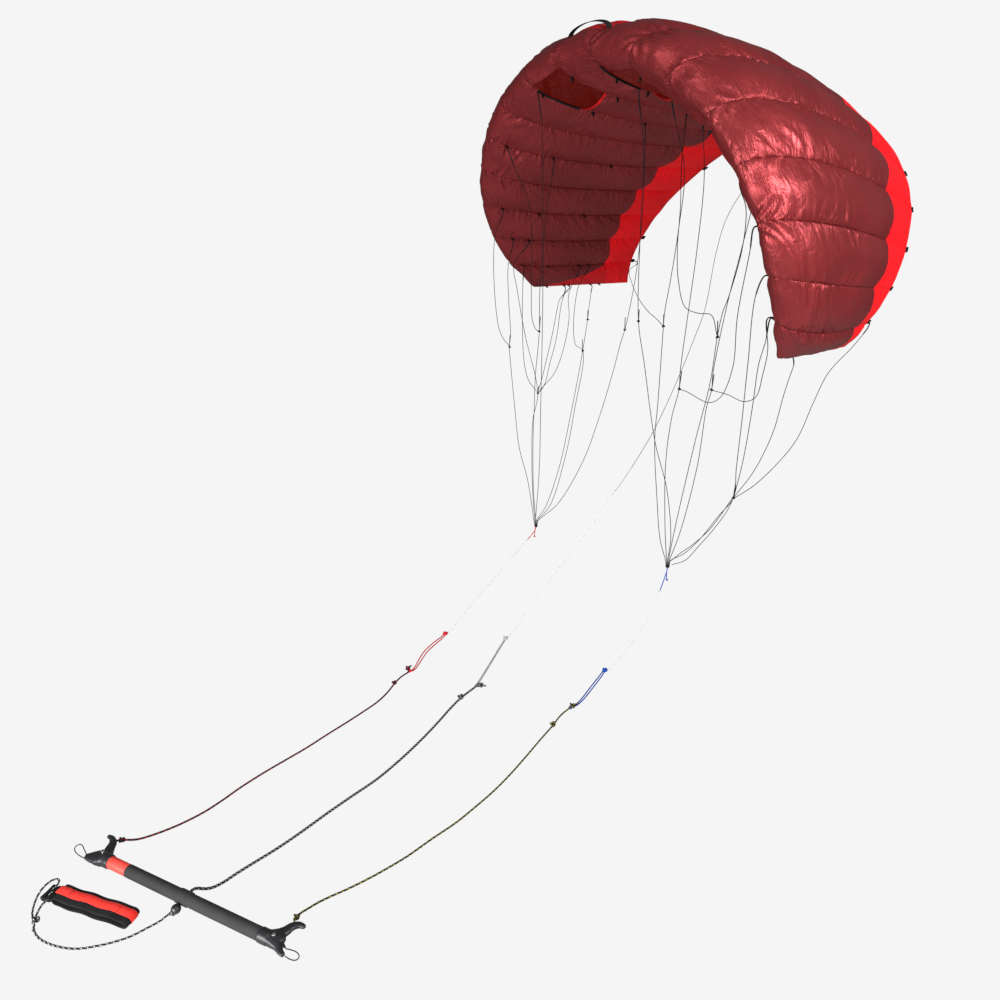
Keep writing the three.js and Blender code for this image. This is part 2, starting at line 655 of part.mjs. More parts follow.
function addBar(parent) {
  const bar = new THREE.Group();
  bar.position.set(...BAR_START);
  bar.rotation.z = radians(BAR_TURN);
  parent.add(bar);
  const [sleeveStart, sleeveEnd] = SLEEVE_SPAN;
  const gripEnd = BAR_LENGTH - 14;
  const grip = [
    [sleeveEnd + GAP, 0], [sleeveEnd + GAP, GRIP_RADIUS], [RING_SPAN[0] - 3, GRIP_RADIUS],
    [RING_SPAN[0], RING_RADIUS], [RING_SPAN[1], RING_RADIUS], [RING_SPAN[1] + 3, GRIP_RADIUS],
    [gripEnd, GRIP_RADIUS], [gripEnd, 0],
  ];
  part(bar, "grip", turned(grip), foam);
  const sleeve = [
    [sleeveStart, 0], [sleeveStart, SLEEVE_RADIUS], [sleeveEnd, SLEEVE_RADIUS], [sleeveEnd, 0],
  ];
  part(bar, "red_sleeve", turned(sleeve), red);
  const leftEnd = sleeveStart - GAP;
  const leftCollar = [
    [leftEnd - COLLAR_LENGTH, 0], [leftEnd - COLLAR_LENGTH, 12], [leftEnd - COLLAR_LENGTH + 8, COLLAR_RADIUS],
    [leftEnd, COLLAR_RADIUS], [leftEnd, 0],
  ];
  part(bar, "end_fitting_left", endFitting(leftOutline, leftCollar), black);
  const rightEnd = gripEnd + GAP;
  const rightCollar = [
    [rightEnd, 0], [rightEnd, COLLAR_RADIUS], [rightEnd + COLLAR_LENGTH - 8, COLLAR_RADIUS],
    [rightEnd + COLLAR_LENGTH, 12], [rightEnd + COLLAR_LENGTH, 0],
  ];
  part(bar, "end_fitting_right", endFitting(rightOutline, rightCollar), black);
  const leftElastic = [
    [-65.5, -19.5, -1], [-76, -20, 0], [-96, -18, 1], [-110, -13, 1], [-117, -7, 1], [-119.5, -0.5, 1],
    [-117, 5, 1], [-111, 7.5, 1], [-103, 5.5, 1], [-87, -1.5, 1], [-72, -8.3, 0], [-67.5, -11.5, 0],
  ];
  cord(bar, "elastic_left", leftElastic, ELASTIC, 8, black);
  const rightElastic = [
    [591.2, -4.6, 0], [601, -2.5, 0], [616, -1, 0], [627, -3.5, 0], [633, -9.5, 0], [631.5, -17, 0],
    [623, -21, 0], [611, -21.5, 0], [602.5, -20.5, 0],
  ];
  cord(bar, "elastic_right", rightElastic, ELASTIC, 8, black);
  addStrap(bar);
}

// Ball stopper, leash and wrist strap, in the bar's frame
function addStrap(bar) {
  const floor = FLOOR - BAR_START[2];
  const ball = part(bar, "stopper_ball", facingOut(new THREE.SphereGeometry(BALL_RADIUS, 14, 8)), black);
  const drop = floor + BALL_RADIUS;
  ball.position.set(272, -Math.sqrt((RING_RADIUS + BALL_RADIUS + GAP) ** 2 - drop ** 2), drop);
  const lying = floor + LEASH / 2;
  const route = [
    [266.6, -41, -7.8], [262, -52, -11], [255, -66, lying], [241, -95, lying], [224, -126, lying],
    [200, -153, lying], [172, -177, lying], [140, -199, lying], [105, -212, lying], [66, -219, lying],
    [30, -219, lying], [2, -211, lying], [-16, -199, lying], [-27, -186, -12], [-34, -172, -8],
    [-38, -160, -5], [-38, -148.4, -4.2],
  ];
  cord(bar, "leash", route, LEASH, 12, black);
  const strap = new THREE.Group();
  strap.position.set(...CUFF_PLACE);
  strap.rotation.z = radians(CUFF_TURN);
  bar.add(strap);
  part(strap, "cuff", cuffBand(), black);
  part(strap, "webbing", webbingBand(), red);
  const slider = part(strap, "slider", facingOut(new THREE.BoxGeometry(...SLIDER)), black);
  slider.position.set(-CUFF_LENGTH / 2 - SLIDER[0] / 2 - GAP, SLIDER_OFFSET, 0);
}

// Half-round end of a flattened loop, about the middle of that end
function halfRound(shape, x, radius, fromAngle, toAngle, clockwise) {
  shape.absarc(x, 0, radius, fromAngle, toAngle, clockwise);
}

// Padded band folded into a flat loop; it is drawn in a plane along its length and drawn out to its width
function cuffBand() {
  const radius = CUFF_HEIGHT / 2;
  const reach = CUFF_LENGTH / 2 - radius;
  const outline = new THREE.Shape();
  halfRound(outline, reach, radius, -Math.PI / 2, Math.PI / 2, false);
  halfRound(outline, -reach, radius, Math.PI / 2, (3 * Math.PI) / 2, false);
  const hole = new THREE.Path();
  halfRound(hole, reach, radius - CUFF_PAD, -Math.PI / 2, Math.PI / 2, false);
  halfRound(hole, -reach, radius - CUFF_PAD, Math.PI / 2, (3 * Math.PI) / 2, false);
  outline.holes.push(hole);
  const geometry = new THREE.ExtrudeGeometry(outline, { depth: CUFF_WIDTH, bevelEnabled: false, curveSegments: 6 });
  geometry.rotateX(Math.PI / 2);
  geometry.translate(0, CUFF_WIDTH / 2, 0);
  return facingOut(geometry);
}

// Webbing along the top of the band, round its right end and a little way back underneath
function webbingBand() {
  const inner = CUFF_HEIGHT / 2 + GAP;
  const outer = inner + WEBBING_THICKNESS;
  const reach = CUFF_LENGTH / 2 - CUFF_HEIGHT / 2;
  const outline = new THREE.Shape();
  outline.moveTo(-CUFF_LENGTH / 2, outer);
  outline.lineTo(-CUFF_LENGTH / 2, inner);
  halfRound(outline, reach, inner, Math.PI / 2, -Math.PI / 2, true);
  outline.lineTo(reach - WEBBING_RETURN, -inner);
  outline.lineTo(reach - WEBBING_RETURN, -outer);
  halfRound(outline, reach, outer, -Math.PI / 2, Math.PI / 2, false);
  const options = { depth: WEBBING_WIDTH, bevelEnabled: false, curveSegments: 6 };
  const geometry = new THREE.ExtrudeGeometry(outline, options);
  geometry.rotateX(Math.PI / 2);
  geometry.translate(0, WEBBING_WIDTH / 2 + WEBBING_OFFSET, 0);
  return facingOut(geometry);
}

const kite = new THREE.Group();
const canopyFrame = new THREE.Group();
canopyFrame.position.copy(hang).negate();
kite.add(canopyFrame);
addCanopy(canopyFrame);
addLeftBridle(canopyFrame);
addRightBridle(canopyFrame);
addLines(canopyFrame);
addBar(canopyFrame);

export default kite;
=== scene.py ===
"""Power kite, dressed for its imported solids: the sewn and inflated canopy, its bridle and flying lines, the
control bar and the wrist strap. Everything is in metres. Canopy points are worked out from the nose of the
middle cell, with X across the span, Y from nose to tail and Z up, and are then moved to the frame's origin,
the highest point inside the hang loop. A rib index runs from 0 at the left tip to CELLS at the right one."""

import math

import bpy
import numpy as np
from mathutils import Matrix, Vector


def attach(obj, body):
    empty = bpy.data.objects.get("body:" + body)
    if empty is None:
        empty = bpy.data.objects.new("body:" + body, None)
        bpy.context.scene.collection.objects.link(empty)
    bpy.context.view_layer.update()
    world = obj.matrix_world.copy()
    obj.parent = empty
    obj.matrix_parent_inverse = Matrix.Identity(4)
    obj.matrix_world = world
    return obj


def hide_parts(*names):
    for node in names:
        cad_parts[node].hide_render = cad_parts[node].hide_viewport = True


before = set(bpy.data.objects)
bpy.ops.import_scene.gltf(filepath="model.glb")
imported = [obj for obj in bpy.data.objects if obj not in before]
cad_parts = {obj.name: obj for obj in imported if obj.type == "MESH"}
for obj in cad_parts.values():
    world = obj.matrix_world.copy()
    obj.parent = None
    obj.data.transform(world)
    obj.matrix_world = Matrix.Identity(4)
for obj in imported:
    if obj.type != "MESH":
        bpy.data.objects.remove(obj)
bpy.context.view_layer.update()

# Canopy. The numbers of a list are a polynomial's, in the share of the half span; angles are in degrees.
CELLS = 17
CELL_WIDTH = 0.152
CELL_NARROWING = 0.19
CHORD = 1.26
CHORD_TAPER = (0.61, -0.06)
NOSE_SWEEP = (0.268, -0.097, 0.223)
TILT = (107, 29, -10)
PITCH = (5, 1.4)
TOE = (4.4, 5)
THICKNESS = 0.159
TIP_THICKENING = 0.12
LOWER_SHARE = 0.69
BULGE = 0.125
BULGE_POWER = 0.72
BULGE_NOSE = 1 / 8
BULGE_TAIL = 1 / 4
EDGE = 0.003
EDGE_NOSE = 1 / 60
PIVOT = 0.25
SEAM_UPPER = 0.69
SEAM_LOWER = 0.733
SEAM_SCALLOP = 0.016
SEAM_GAP = 0.0006
RIB_GAP = 0.0003
SPINE_STEPS = 1700

# Air intakes: cell, then where the mouth starts and ends along the chord at the cell's two ribs
INTAKES = {7: ((0.02, 0.02), (0.19, 0.17)), 9: ((0.045, 0.03), (0.23, 0.2))}
HEM = 0.009
RED_TOP_CELL = 8
RED_TOP_CHORD = (0.028, 0.34)

# Hang loop, drawn wider than its solid by a margin on each side
LOOP_CHORD = 0.05
LOOP_WIDTH = 0.014
LOOP_THICKNESS = 0.002
LOOP_RISE = 0.028
LOOP_CLEAR = 0.001
LOOP_MARGIN = 0.002

# Floor, bar and strap, in the canopy's frame; the bar's own frame has X along the bar from its left end
FLOOR = -2.018
BAR_START = (0.0586, -1.5833, -2.0)
BAR_TURN = math.radians(28.71)
BAR_LENGTH = 0.5256
BAR_END = 0.014
PART_GAP = 0.0003
GRIP_RADIUS = 0.016
SLEEVE = (0.012, 0.075)
SLEEVE_RADIUS = 0.0155
RING = (0.254, 0.288)
RING_RADIUS = 0.018
COLLAR_RADIUS = 0.018
COLLAR_LENGTH = 0.034
BALL_RADIUS = 0.012
CUFF_PLACE = (0.086, -0.108, -0.0042)
CUFF_TURN = math.radians(7)
CUFF_LENGTH = 0.232
CUFF_HEIGHT = 0.024
CUFF_WIDTH = 0.046
CUFF_PAD = 0.005
WEBBING_WIDTH = 0.022
WEBBING_OFFSET = 0.0035
WEBBING_THICKNESS = 0.0015
WEBBING_RETURN = 0.06

# Cords. The lines of the bridle are drawn a little thicker than their listed diameter.
BRIDLE = 0.002
BRIDLE_SHOWN = 0.0024
FLYING_LINE = 0.002
LOOP_CORD = 0.003
LEADER = 0.006
LEASH = 0.005
ELASTIC = 0.0025
STRAP_WAVE = 0.0011
STRAP_WAVE_LENGTH = 0.08
TAB_CLEAR = 0.001
TAB_LENGTH = 0.014
BINDING_STAND = 0.0036
PIGTAIL = 0.075
KNOT_ROW_TURN = math.radians(53.4)
KNOT_HALF = (0.0095, 0.005, 0.007)
KNOT_PITCH = 0.0026
KNOT_CLEAR = 0.001
KNOT_SPREAD = 0.3
KNOT_DROP = 0.014
KNOT_LEFT = (-0.395, 0.23, -1.66)
KNOT_RIGHT = (0.355, 0.2, -1.545)
MIDDLE_DARK = 1.6
MIDDLE_GREY = 1.72
RED_START = 0.07
BLUE_START = 0.095
STRAND = 0.0045
STRAND_REACH = 0.0021
LEADER_KNOT_CORD = 0.0062
CORD_STEP = 0.006
ELASTIC_STEP = 0.0025
# What a thicker start adds to the radius, and the length over which it dies away
BRIDLE_SLEEVE = (0.0009, 0.006)
LINE_SLEEVE = (0.0007, 0.01)

# Camera, where the photograph was taken from: its place in the canopy's frame, and how far it looks down
CAMERA_PLACE = (1.873, -1.645, -0.398)
CAMERA_DOWN = math.radians(21.3)
CAMERA_TURN = math.radians(53.4)
CAMERA_LENS = 26.98
SENSOR_WIDTH = 36


def share(i):
    """Share of the half span, -1 to 1, at rib index i."""
    return (np.asarray(i, float) - CELLS / 2) / (CELLS / 2)


def tilt(s):
    """How far the arch leans at a share of the half span, in radians, as a cubic."""
    return np.radians(TILT[0] * s + TILT[1] * s**2 + TILT[2] * s**3)


def chord_at(i):
    """Length of a rib, less towards the tips by the square and the fourth power of the share."""
    s = share(i)
    return CHORD * (1 - CHORD_TAPER[0] * s**2 - CHORD_TAPER[1] * s**4)


def cell_width(i):
    """Width of a cell, less towards the tips by the square of the share."""
    return CELL_WIDTH * (1 - CELL_NARROWING * share(i) ** 2)


def spine_table():
    """Nose line of the arch: steps of the cells' width, each laid at the local tilt, summed outward."""
    step = 2 / SPINE_STEPS
    s = -1 + (np.arange(SPINE_STEPS) + 0.5) * step
    stretch = CELL_WIDTH * CELLS / 2 * (1 - CELL_NARROWING * s**2) * step
    xs = np.concatenate([[0], np.cumsum(np.cos(tilt(s)) * stretch)])
    zs = np.concatenate([[0], np.cumsum(-np.sin(tilt(s)) * stretch)])
    middle = SPINE_STEPS // 2
    return np.linspace(-1, 1, SPINE_STEPS + 1), xs - xs[middle], zs - zs[middle]


SPINE_S, SPINE_X, SPINE_Z = spine_table()


def half_thickness(t, thick):
    """Half thickness of a rib at the share t of its chord: the usual rounded-nose aerofoil polynomial, whose
    numbers are those of a section a fifth as thick as it is long."""
    c = np.clip(t, 0, 1)
    shape = 0.2969 * np.sqrt(c) - 0.126 * c - 0.3516 * c**2 + 0.2843 * c**3 - 0.1036 * c**4
    return thick / 0.2 * shape


def skin(i, t, side, out=0.0):
    """Point of the skin at rib index i and chord share t, on the upper (1) or lower (-1) side, `out` metres
    proud of it. The rib section bulges between ribs as a power of the sine of the index, less by the nose
    and the tail. It is pitched about its quarter chord, toed, and then tilted and set on the nose line. The
    result is in the row frame."""
    i, t, side, out = np.broadcast_arrays(np.asarray(i, float), np.asarray(t, float), side, out)
    s = share(i)
    chord = chord_at(i)
    taper = np.sin(np.clip((1 - np.abs(s)) * CELLS / 2, 0, 1) * math.pi / 2)
    from_nose, from_tail = np.maximum(t, 0), np.maximum(1 - t, 0)
    ends = np.minimum(1, np.sqrt(from_nose / BULGE_NOSE)) * np.minimum(1, np.sqrt(from_tail / BULGE_TAIL))
    bulge = BULGE * cell_width(i) * np.abs(np.sin(math.pi * i)) ** BULGE_POWER * ends
    fullness = np.where(side > 0, 1, LOWER_SHARE)
    body = half_thickness(t, THICKNESS * (1 + TIP_THICKENING * s**2)) * fullness * taper * chord
    rise = np.maximum(body + bulge, EDGE / 2 * np.minimum(1, np.sqrt(from_nose / EDGE_NOSE)))
    u, v = t * chord, side * (rise + out)
    pivot = PIVOT * chord
    pitch = np.radians(PITCH[0] + PITCH[1] * s)
    toe = np.radians(TOE[0] * s + TOE[1] * s**2)
    along = (u - pivot) * np.cos(pitch) + v * np.sin(pitch)
    up = -(u - pivot) * np.sin(pitch) + v * np.cos(pitch)
    sideways = along * np.sin(toe)
    nose = NOSE_SWEEP[0] * s**2 + NOSE_SWEEP[1] * s**3 + NOSE_SWEEP[2] * s**4
    x = np.interp(s, SPINE_S, SPINE_X) + sideways * np.cos(tilt(s)) + up * np.sin(tilt(s))
    z = np.interp(s, SPINE_S, SPINE_Z) - sideways * np.sin(tilt(s)) + up * np.cos(tilt(s))
    return np.stack([x, nose + along * np.cos(toe) + pivot, z], -1) - HANG


HANG = np.zeros(3)
loop_ribs = (CELLS // 2, CELLS // 2 + 1)
loop_feet = [skin(rib, LOOP_CHORD, 1, LOOP_CLEAR) for rib in loop_ribs]
HANG = (loop_feet[0] + loop_feet[1]) / 2 + np.array([0, 0, LOOP_RISE - LOOP_THICKNESS])
FLOOR_Z = FLOOR - HANG[2]


def canopy_point(x, y, z):
    """Canopy's frame to row frame."""
    return np.array([x, y, z]) - HANG


def turned(points, angle):
    """Points turned about Z: x cos a - y sin a, x sin a + y cos a."""
    p = np.asarray(points, float)
    c, s = math.cos(angle), math.sin(angle)
    return np.stack([p[..., 0] * c - p[..., 1] * s, p[..., 0] * s + p[..., 1] * c, p[..., 2]], -1)


def on_bar(points):
    """Bar frame to row frame: turned about Z, then moved to the bar's left end."""
    return turned(points, BAR_TURN) + np.array(BAR_START) - HANG


def on_strap(points):
    """Strap frame to row frame, by way of the bar's frame. The strap lies in slight sideways waves, each a
    sine of the place along it."""
    p = np.asarray(points, float)
    wave = STRAP_WAVE * np.sin(2 * math.pi * p[..., 0] / STRAP_WAVE_LENGTH)
    p = np.stack([p[..., 0], p[..., 1] - wave, p[..., 2]], -1)
    return on_bar(turned(p, CUFF_TURN) + np.array(CUFF_PLACE))


camera_data = bpy.data.cameras.new("camera")
camera_data.lens = CAMERA_LENS
camera_data.sensor_width = SENSOR_WIDTH
camera_data.clip_end = 200
camera = bpy.data.objects.new("camera", camera_data)
camera.location = canopy_point(*CAMERA_PLACE)
camera.rotation_euler = (math.pi / 2 - CAMERA_DOWN, 0, CAMERA_TURN)
bpy.context.collection.objects.link(camera)
bpy.context.scene.camera = camera


# Surfaces. A shape is (points, quads, uv of each quad's corners).
def round_angles(count):
    """Angles evenly spaced round a circle."""
    return np.arange(count) / count * 2 * math.pi


def blunt(wave, power):
    """A sine or cosine raised to a power with its sign kept, which makes a circle squarer below 1."""
    return np.sign(wave) * np.abs(wave) ** power


def outward(points, quads, uv):
    """Turns the quads round if the volume they enclose, a sum of corner products, is negative."""
    a, b, c, d = (points[quads[:, k]] for k in range(4))
    volume = np.sum(np.cross(a, b) * c) + np.sum(np.cross(a, c) * d)
    return (points, quads, uv) if volume > 0 else (points, quads[:, ::-1], uv[:, ::-1])


def sweep(loops, uv=None, ring=False):
    """Closed surface through equal loops of points (rows, columns, 3). Each pair of neighbouring loops is
    joined by quads. A ring joins its last loop to its first; otherwise both end loops are closed by rungs
    between one half of the loop and the other half, backwards."""
    rows, columns = loops.shape[:2]
    if uv is None:
        middle = loops.mean(1)
        along = np.concatenate([[0], np.cumsum(np.linalg.norm(np.diff(middle, axis=0), axis=1))])
        if ring:
            along = np.append(along, along[-1] + np.linalg.norm(middle[0] - middle[-1]))
        around = np.arange(columns + 1) / columns
        uv = np.stack(np.meshgrid(along, around, indexing="ij"), -1)
    k, j = np.meshgrid(np.arange(rows if ring else rows - 1), np.arange(columns), indexing="ij")
    here, there = k * columns, (k + 1) % rows * columns
    beside = (j + 1) % columns
    quads = np.stack([here + j, here + beside, there + beside, there + j], -1).reshape(-1, 4)
    corners = np.stack([uv[k, j], uv[k, j + 1], uv[k + 1, j + 1], uv[k + 1, j]], -2).reshape(-1, 4, 2)
    if not ring:
        j = np.arange(columns // 2 - 1)
        rung = np.stack([j, j + 1, columns - 2 - j, columns - 1 - j], -1)
        last = (rows - 1) * columns
        quads = np.concatenate([quads, rung[:, ::-1], rung + last])
        corners = np.concatenate([corners, uv[0][rung[:, ::-1]], uv[-1][rung]])
    return outward(loops.reshape(-1, 3), quads, corners)


def together(shapes):
    """Several shapes as one."""
    starts = np.cumsum([0] + [len(s[0]) for s in shapes])
    points = np.concatenate([s[0] for s in shapes])
    quads = np.concatenate([s[1] + start for s, start in zip(shapes, starts)])
    return points, quads, np.concatenate([s[2] for s in shapes])


def piece(name, shape, look, nodes=(), sharp=50, attributes=None, lining=None):
    """Mesh object at the origin that rides on the row's one body and stands for the given CAD nodes. Its look
    is a name in LOOKS, and so is its lining."""
    points, quads, uv = shape
    mesh = bpy.data.meshes.new(name)
    mesh.vertices.add(len(points))
    mesh.vertices.foreach_set("co", points.astype(np.float32).ravel())
    mesh.loops.add(quads.size)
    mesh.loops.foreach_set("vertex_index", quads.astype(np.int32).ravel())
    mesh.polygons.add(len(quads))
    mesh.polygons.foreach_set("loop_start", np.arange(0, quads.size, 4, dtype=np.int32))
    mesh.update(calc_edges=True)
    mesh.uv_layers.new(name="cloth").data.foreach_set("uv", uv.astype(np.float32).ravel())
    for key, values in (attributes or {}).items():
        made = mesh.attributes.new(key, "FLOAT", "POINT")
        made.data.foreach_set("value", values.astype(np.float32).ravel())
    mesh.polygons.foreach_set("use_smooth", np.ones(len(quads), bool))
    mesh.set_sharp_from_angle(angle=math.radians(sharp))
    mesh.validate()
    material, slot = LOOKS[look]
    mesh.materials.append(material)
    if lining:
        mesh.materials.append(LOOKS[lining][0])
    obj = bpy.data.objects.new(name, mesh)
    bpy.context.collection.objects.link(obj)
    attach(obj, "root")
    if nodes:
        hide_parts(*nodes)
    return obj


def smooth_route(route, spacing):
    """Points at even spacing on the centripetal Catmull-Rom curve through a cord's listed points."""
    p = np.array(route, float)
    padded = np.concatenate([[2 * p[0] - p[1]], p, [2 * p[-1] - p[-2]]])
    p0, p1, p2, p3 = (padded[k : len(padded) - 3 + k, None] for k in range(4))
    d0, d1, d2 = (np.maximum(np.linalg.norm(b - a, axis=-1, keepdims=True), 1e-6) ** 0.5
                  for a, b in ((p0, p1), (p1, p2), (p2, p3)))
    m1 = ((p1 - p0) / d0 - (p2 - p0) / (d0 + d1) + (p2 - p1) / d1) * d1
    m2 = ((p2 - p1) / d1 - (p3 - p1) / (d1 + d2) + (p3 - p2) / d2) * d1
    t = np.linspace(0, 1, 25)[None, :-1, None]
    curve = (2 * t**3 - 3 * t**2 + 1) * p1 + (t**3 - 2 * t**2 + t) * m1
    curve = curve + (3 * t**2 - 2 * t**3) * p2 + (t**3 - t**2) * m2
    curve = np.concatenate([curve.reshape(-1, 3), p[-1:]])
    length = np.concatenate([[0], np.cumsum(np.linalg.norm(np.diff(curve, axis=0), axis=1))])
    even = np.linspace(0, length[-1], max(6, int(length[-1] / spacing)))
    return np.stack([np.interp(even, length, curve[:, k]) for k in range(3)], -1)


def route_length(path):
    """Length of a path, the sum of the steps between its points."""
    return float(np.linalg.norm(np.diff(path, axis=0), axis=1).sum())


def crossways(path, ring=False):
    """Two unit vectors across a path at each point: the cross product of the path's direction with a fixed
    one, the one of a few that the path stays furthest away from, and the cross product of the two."""
    ahead = np.roll(path, -1, 0) - np.roll(path, 1, 0)
    if not ring:
        ahead = np.gradient(path, axis=0)
    ahead = ahead / np.linalg.norm(ahead, axis=1, keepdims=True)
    grid = np.array(np.meshgrid([-1, 0, 1], [-1, 0, 1], [0, 1])).reshape(3, -1).T
    fixed = grid[np.abs(grid).sum(1) > 0] + np.array([0.03, 0.05, 0.02])
    fixed = fixed / np.linalg.norm(fixed, axis=1, keepdims=True)
    best = fixed[np.abs(ahead @ fixed.T).max(0).argmin()]
    side = np.cross(ahead, best)
    side = side / np.linalg.norm(side, axis=1, keepdims=True)
    return side, np.cross(side, ahead)


def tube(path, radius, sides=8, ring=False):
    """Round tube along a path: at each point, radius times the cosine and sine of the angle, along the two
    directions across the path. The radius may differ from point to point."""
    a = round_angles(sides)[None, :, None]
    side, rising = crossways(path, ring)
    across = side[:, None] * np.cos(a) + rising[:, None] * np.sin(a)
    return sweep(path[:, None] + across * np.reshape(radius, (-1, 1, 1)), ring=ring)


def knot(middle, cord, size, turn, lean):
    """Overhand knot pulled tight, as a trefoil: x = sin a + 2 sin 2a, y = cos a - 2 cos 2a, z = -1.4 sin 3a.
    It has a cord's thickness and a size across, leans over about Y and is then turned about Z."""
    a = round_angles(60)
    path = np.stack([np.sin(a) + 2 * np.sin(2 * a), np.cos(a) - 2 * np.cos(2 * a), -1.4 * np.sin(3 * a)], -1)
    path = path * (size - cord) / 6
    x, y, z = path.T
    c, s = math.cos(lean), math.sin(lean)
    leaned = np.stack([x * c + z * s, y, z * c - x * s], -1)
    return tube(turned(leaned, turn) + np.asarray(middle), cord / 2, ring=True)


def lathed(profile, sides):
    """Rings of points from (place along an axis, radius) corners: the place, then radius times cosine and
    radius times sine. The last corners at each end are nearly on the axis."""
    place, radius = np.asarray(profile)[:, :, None].transpose(1, 0, 2)
    a = round_angles(sides)
    return place + 0 * a, radius * np.cos(a), radius * np.sin(a)


def rounded(corners, depth):
    """Rounds the inner corners of a lathe profile: each is replaced by a parabola that starts and ends
    `depth` before and after it."""
    p = np.array(corners, float)
    into = p[:-2] - p[1:-1]
    onward = p[2:] - p[1:-1]
    reach_in = np.minimum(depth, 0.45 * np.linalg.norm(into, axis=1, keepdims=True))
    reach_on = np.minimum(depth, 0.45 * np.linalg.norm(onward, axis=1, keepdims=True))
    start = p[1:-1] + into / np.linalg.norm(into, axis=1, keepdims=True) * reach_in
    end = p[1:-1] + onward / np.linalg.norm(onward, axis=1, keepdims=True) * reach_on
    t = np.linspace(0, 1, 4)[None, :, None]
    arcs = (1 - t) ** 2 * start[:, None] + 2 * t * (1 - t) * p[1:-1, None] + t**2 * end[:, None]
    return np.concatenate([p[:1], arcs.reshape(-1, 2), p[-1:]])


# Materials
CREASE_STRETCH = (9, 75, 1)
CREASE_HEIGHT = 0.014
CRUMPLE_HEIGHT = 0.006
RIPSTOP_SPACING = 0.005
RIPSTOP_RIDGE = 0.16
RIPSTOP_HEIGHT = 0.00008
SIDE_BLUR = 0.0008
GROOVE_WIDTH = 0.0018
BRAID_HEIGHT = 0.09
WEBBING_ROW = 0.0016
WEBBING_HEIGHT = 0.0001
LOOKS = {}


class Graph:
    """Short ways to add to a node tree. Wherever a value is given, it may be another node's output, a plain
    number, a vector, or a colour as (r, g, b)."""

    def __init__(self, tree):
        self.tree = tree

    def feed(self, socket, value):
        if isinstance(value, bpy.types.NodeSocket):
            self.tree.links.new(value, socket)
        elif socket.type == "RGBA":
            socket.default_value = (*value, 1)
        else:
            socket.default_value = value

    def node(self, kind, inputs, output=0, **settings):
        """Adds a node with its settings, feeds the inputs named or numbered, and gives back one output."""
        made = self.tree.nodes.new(f"ShaderNode{kind}")
        for key, value in settings.items():
            setattr(made, key, value)
        for key, value in inputs.items():
            self.feed(made.inputs[key], value)
        return made.outputs[output]

    def calc(self, operation, *values):
        return self.node("Math", dict(enumerate(values)), operation=operation)

    def times(self, *values):
        return self.calc("MULTIPLY", *values)

    def plus(self, *values):
        return self.calc("ADD", *values)

    def ridge(self, value):
        """How far a value is from a half."""
        return self.calc("ABSOLUTE", self.calc("SUBTRACT", value, 0.5))

    def parts(self, vector):
        """The X and Y of a vector."""
        x = self.node("SeparateXYZ", {0: vector}, "X")
        return x, x.node.outputs["Y"]

    def noise(self, vector, scale, detail=2.0, roughness=0.5, distortion=0.0):
        return self.node("TexNoise", {"Vector": vector, "Scale": scale, "Detail": detail,
                                      "Roughness": roughness, "Distortion": distortion}, "Fac")

    def mix(self, factor, first, second):
        """The first colour where the factor is 0, and the second where it is 1."""
        return self.node("Mix", {0: factor, 6: first, 7: second}, 2, data_type="RGBA")

    def spread(self, value, low, high, to_low=0.0, to_high=1.0):
        """The range from low to high laid evenly over another, and cut off at its ends."""
        return self.node("MapRange", {"Value": value, "From Min": low, "From Max": high, "To Min": to_low,
                                      "To Max": to_high}, "Result")

    def toned(self, colour, value):
        """A colour made darker below 1 and lighter above it."""
        return self.node("HueSaturation", {"Color": colour, "Value": value}, "Color")

    def attribute(self, name):
        return self.node("Attribute", {}, "Fac", attribute_name=name)

    def cloth(self):
        """The piece's own map: metres along and across cloth, or along a cord and turns round it."""
        return self.node("UVMap", {}, "UV", uv_map="cloth")

    def place(self):
        return self.node("TexCoord", {}, "Object")

    def use(self, shared, vector, **values):
        """Places a shared group, with its first input fed by a vector; gives back its outputs."""
        return self.node("Group", {0: vector, **values}, node_tree=shared).node.outputs


def group(name, inputs, outputs):
    """Empty shader group with a vector input, then number inputs with their usual values, and outputs."""
    tree = bpy.data.node_groups.new(name, "ShaderNodeTree")
    vector, *numbers = inputs
    tree.interface.new_socket(vector, in_out="INPUT", socket_type="NodeSocketVector")
    for key, value in numbers:
        tree.interface.new_socket(key, in_out="INPUT", socket_type="NodeSocketFloat").default_value = value
    for key in outputs:
        tree.interface.new_socket(key, in_out="OUTPUT", socket_type="NodeSocketFloat")
    given, put = tree.nodes.new("NodeGroupInput").outputs, tree.nodes.new("NodeGroupOutput").inputs
    return Graph(tree), given, put


def crease_group():
    """Small creases of coated nylon: noise stretched across the rib seams where the cloth is gathered, and
    short crumples everywhere. Each is the distance of a noise from a half. Height is in metres."""
    g, given, put = group("small_creases", ["Cloth", ("Gather", 0.5), ("Crumple", 1.0)], ["Height", "Shade"])
    stretched = g.node("VectorMath", {0: given["Cloth"], 1: CREASE_STRETCH}, operation="MULTIPLY")
    pulled = g.noise(stretched, 1.0, 3.0, 0.55, 0.4)
    crumple = g.noise(given["Cloth"], 20.0, 2.5, 0.5, 0.6)
    near = g.times(g.times(g.ridge(pulled), given["Gather"]), CREASE_HEIGHT)
    all_over = g.times(g.times(g.ridge(crumple), given["Crumple"]), CRUMPLE_HEIGHT)
    g.feed(put["Height"], g.plus(near, all_over))
    g.feed(put["Shade"], pulled)
    return g.tree


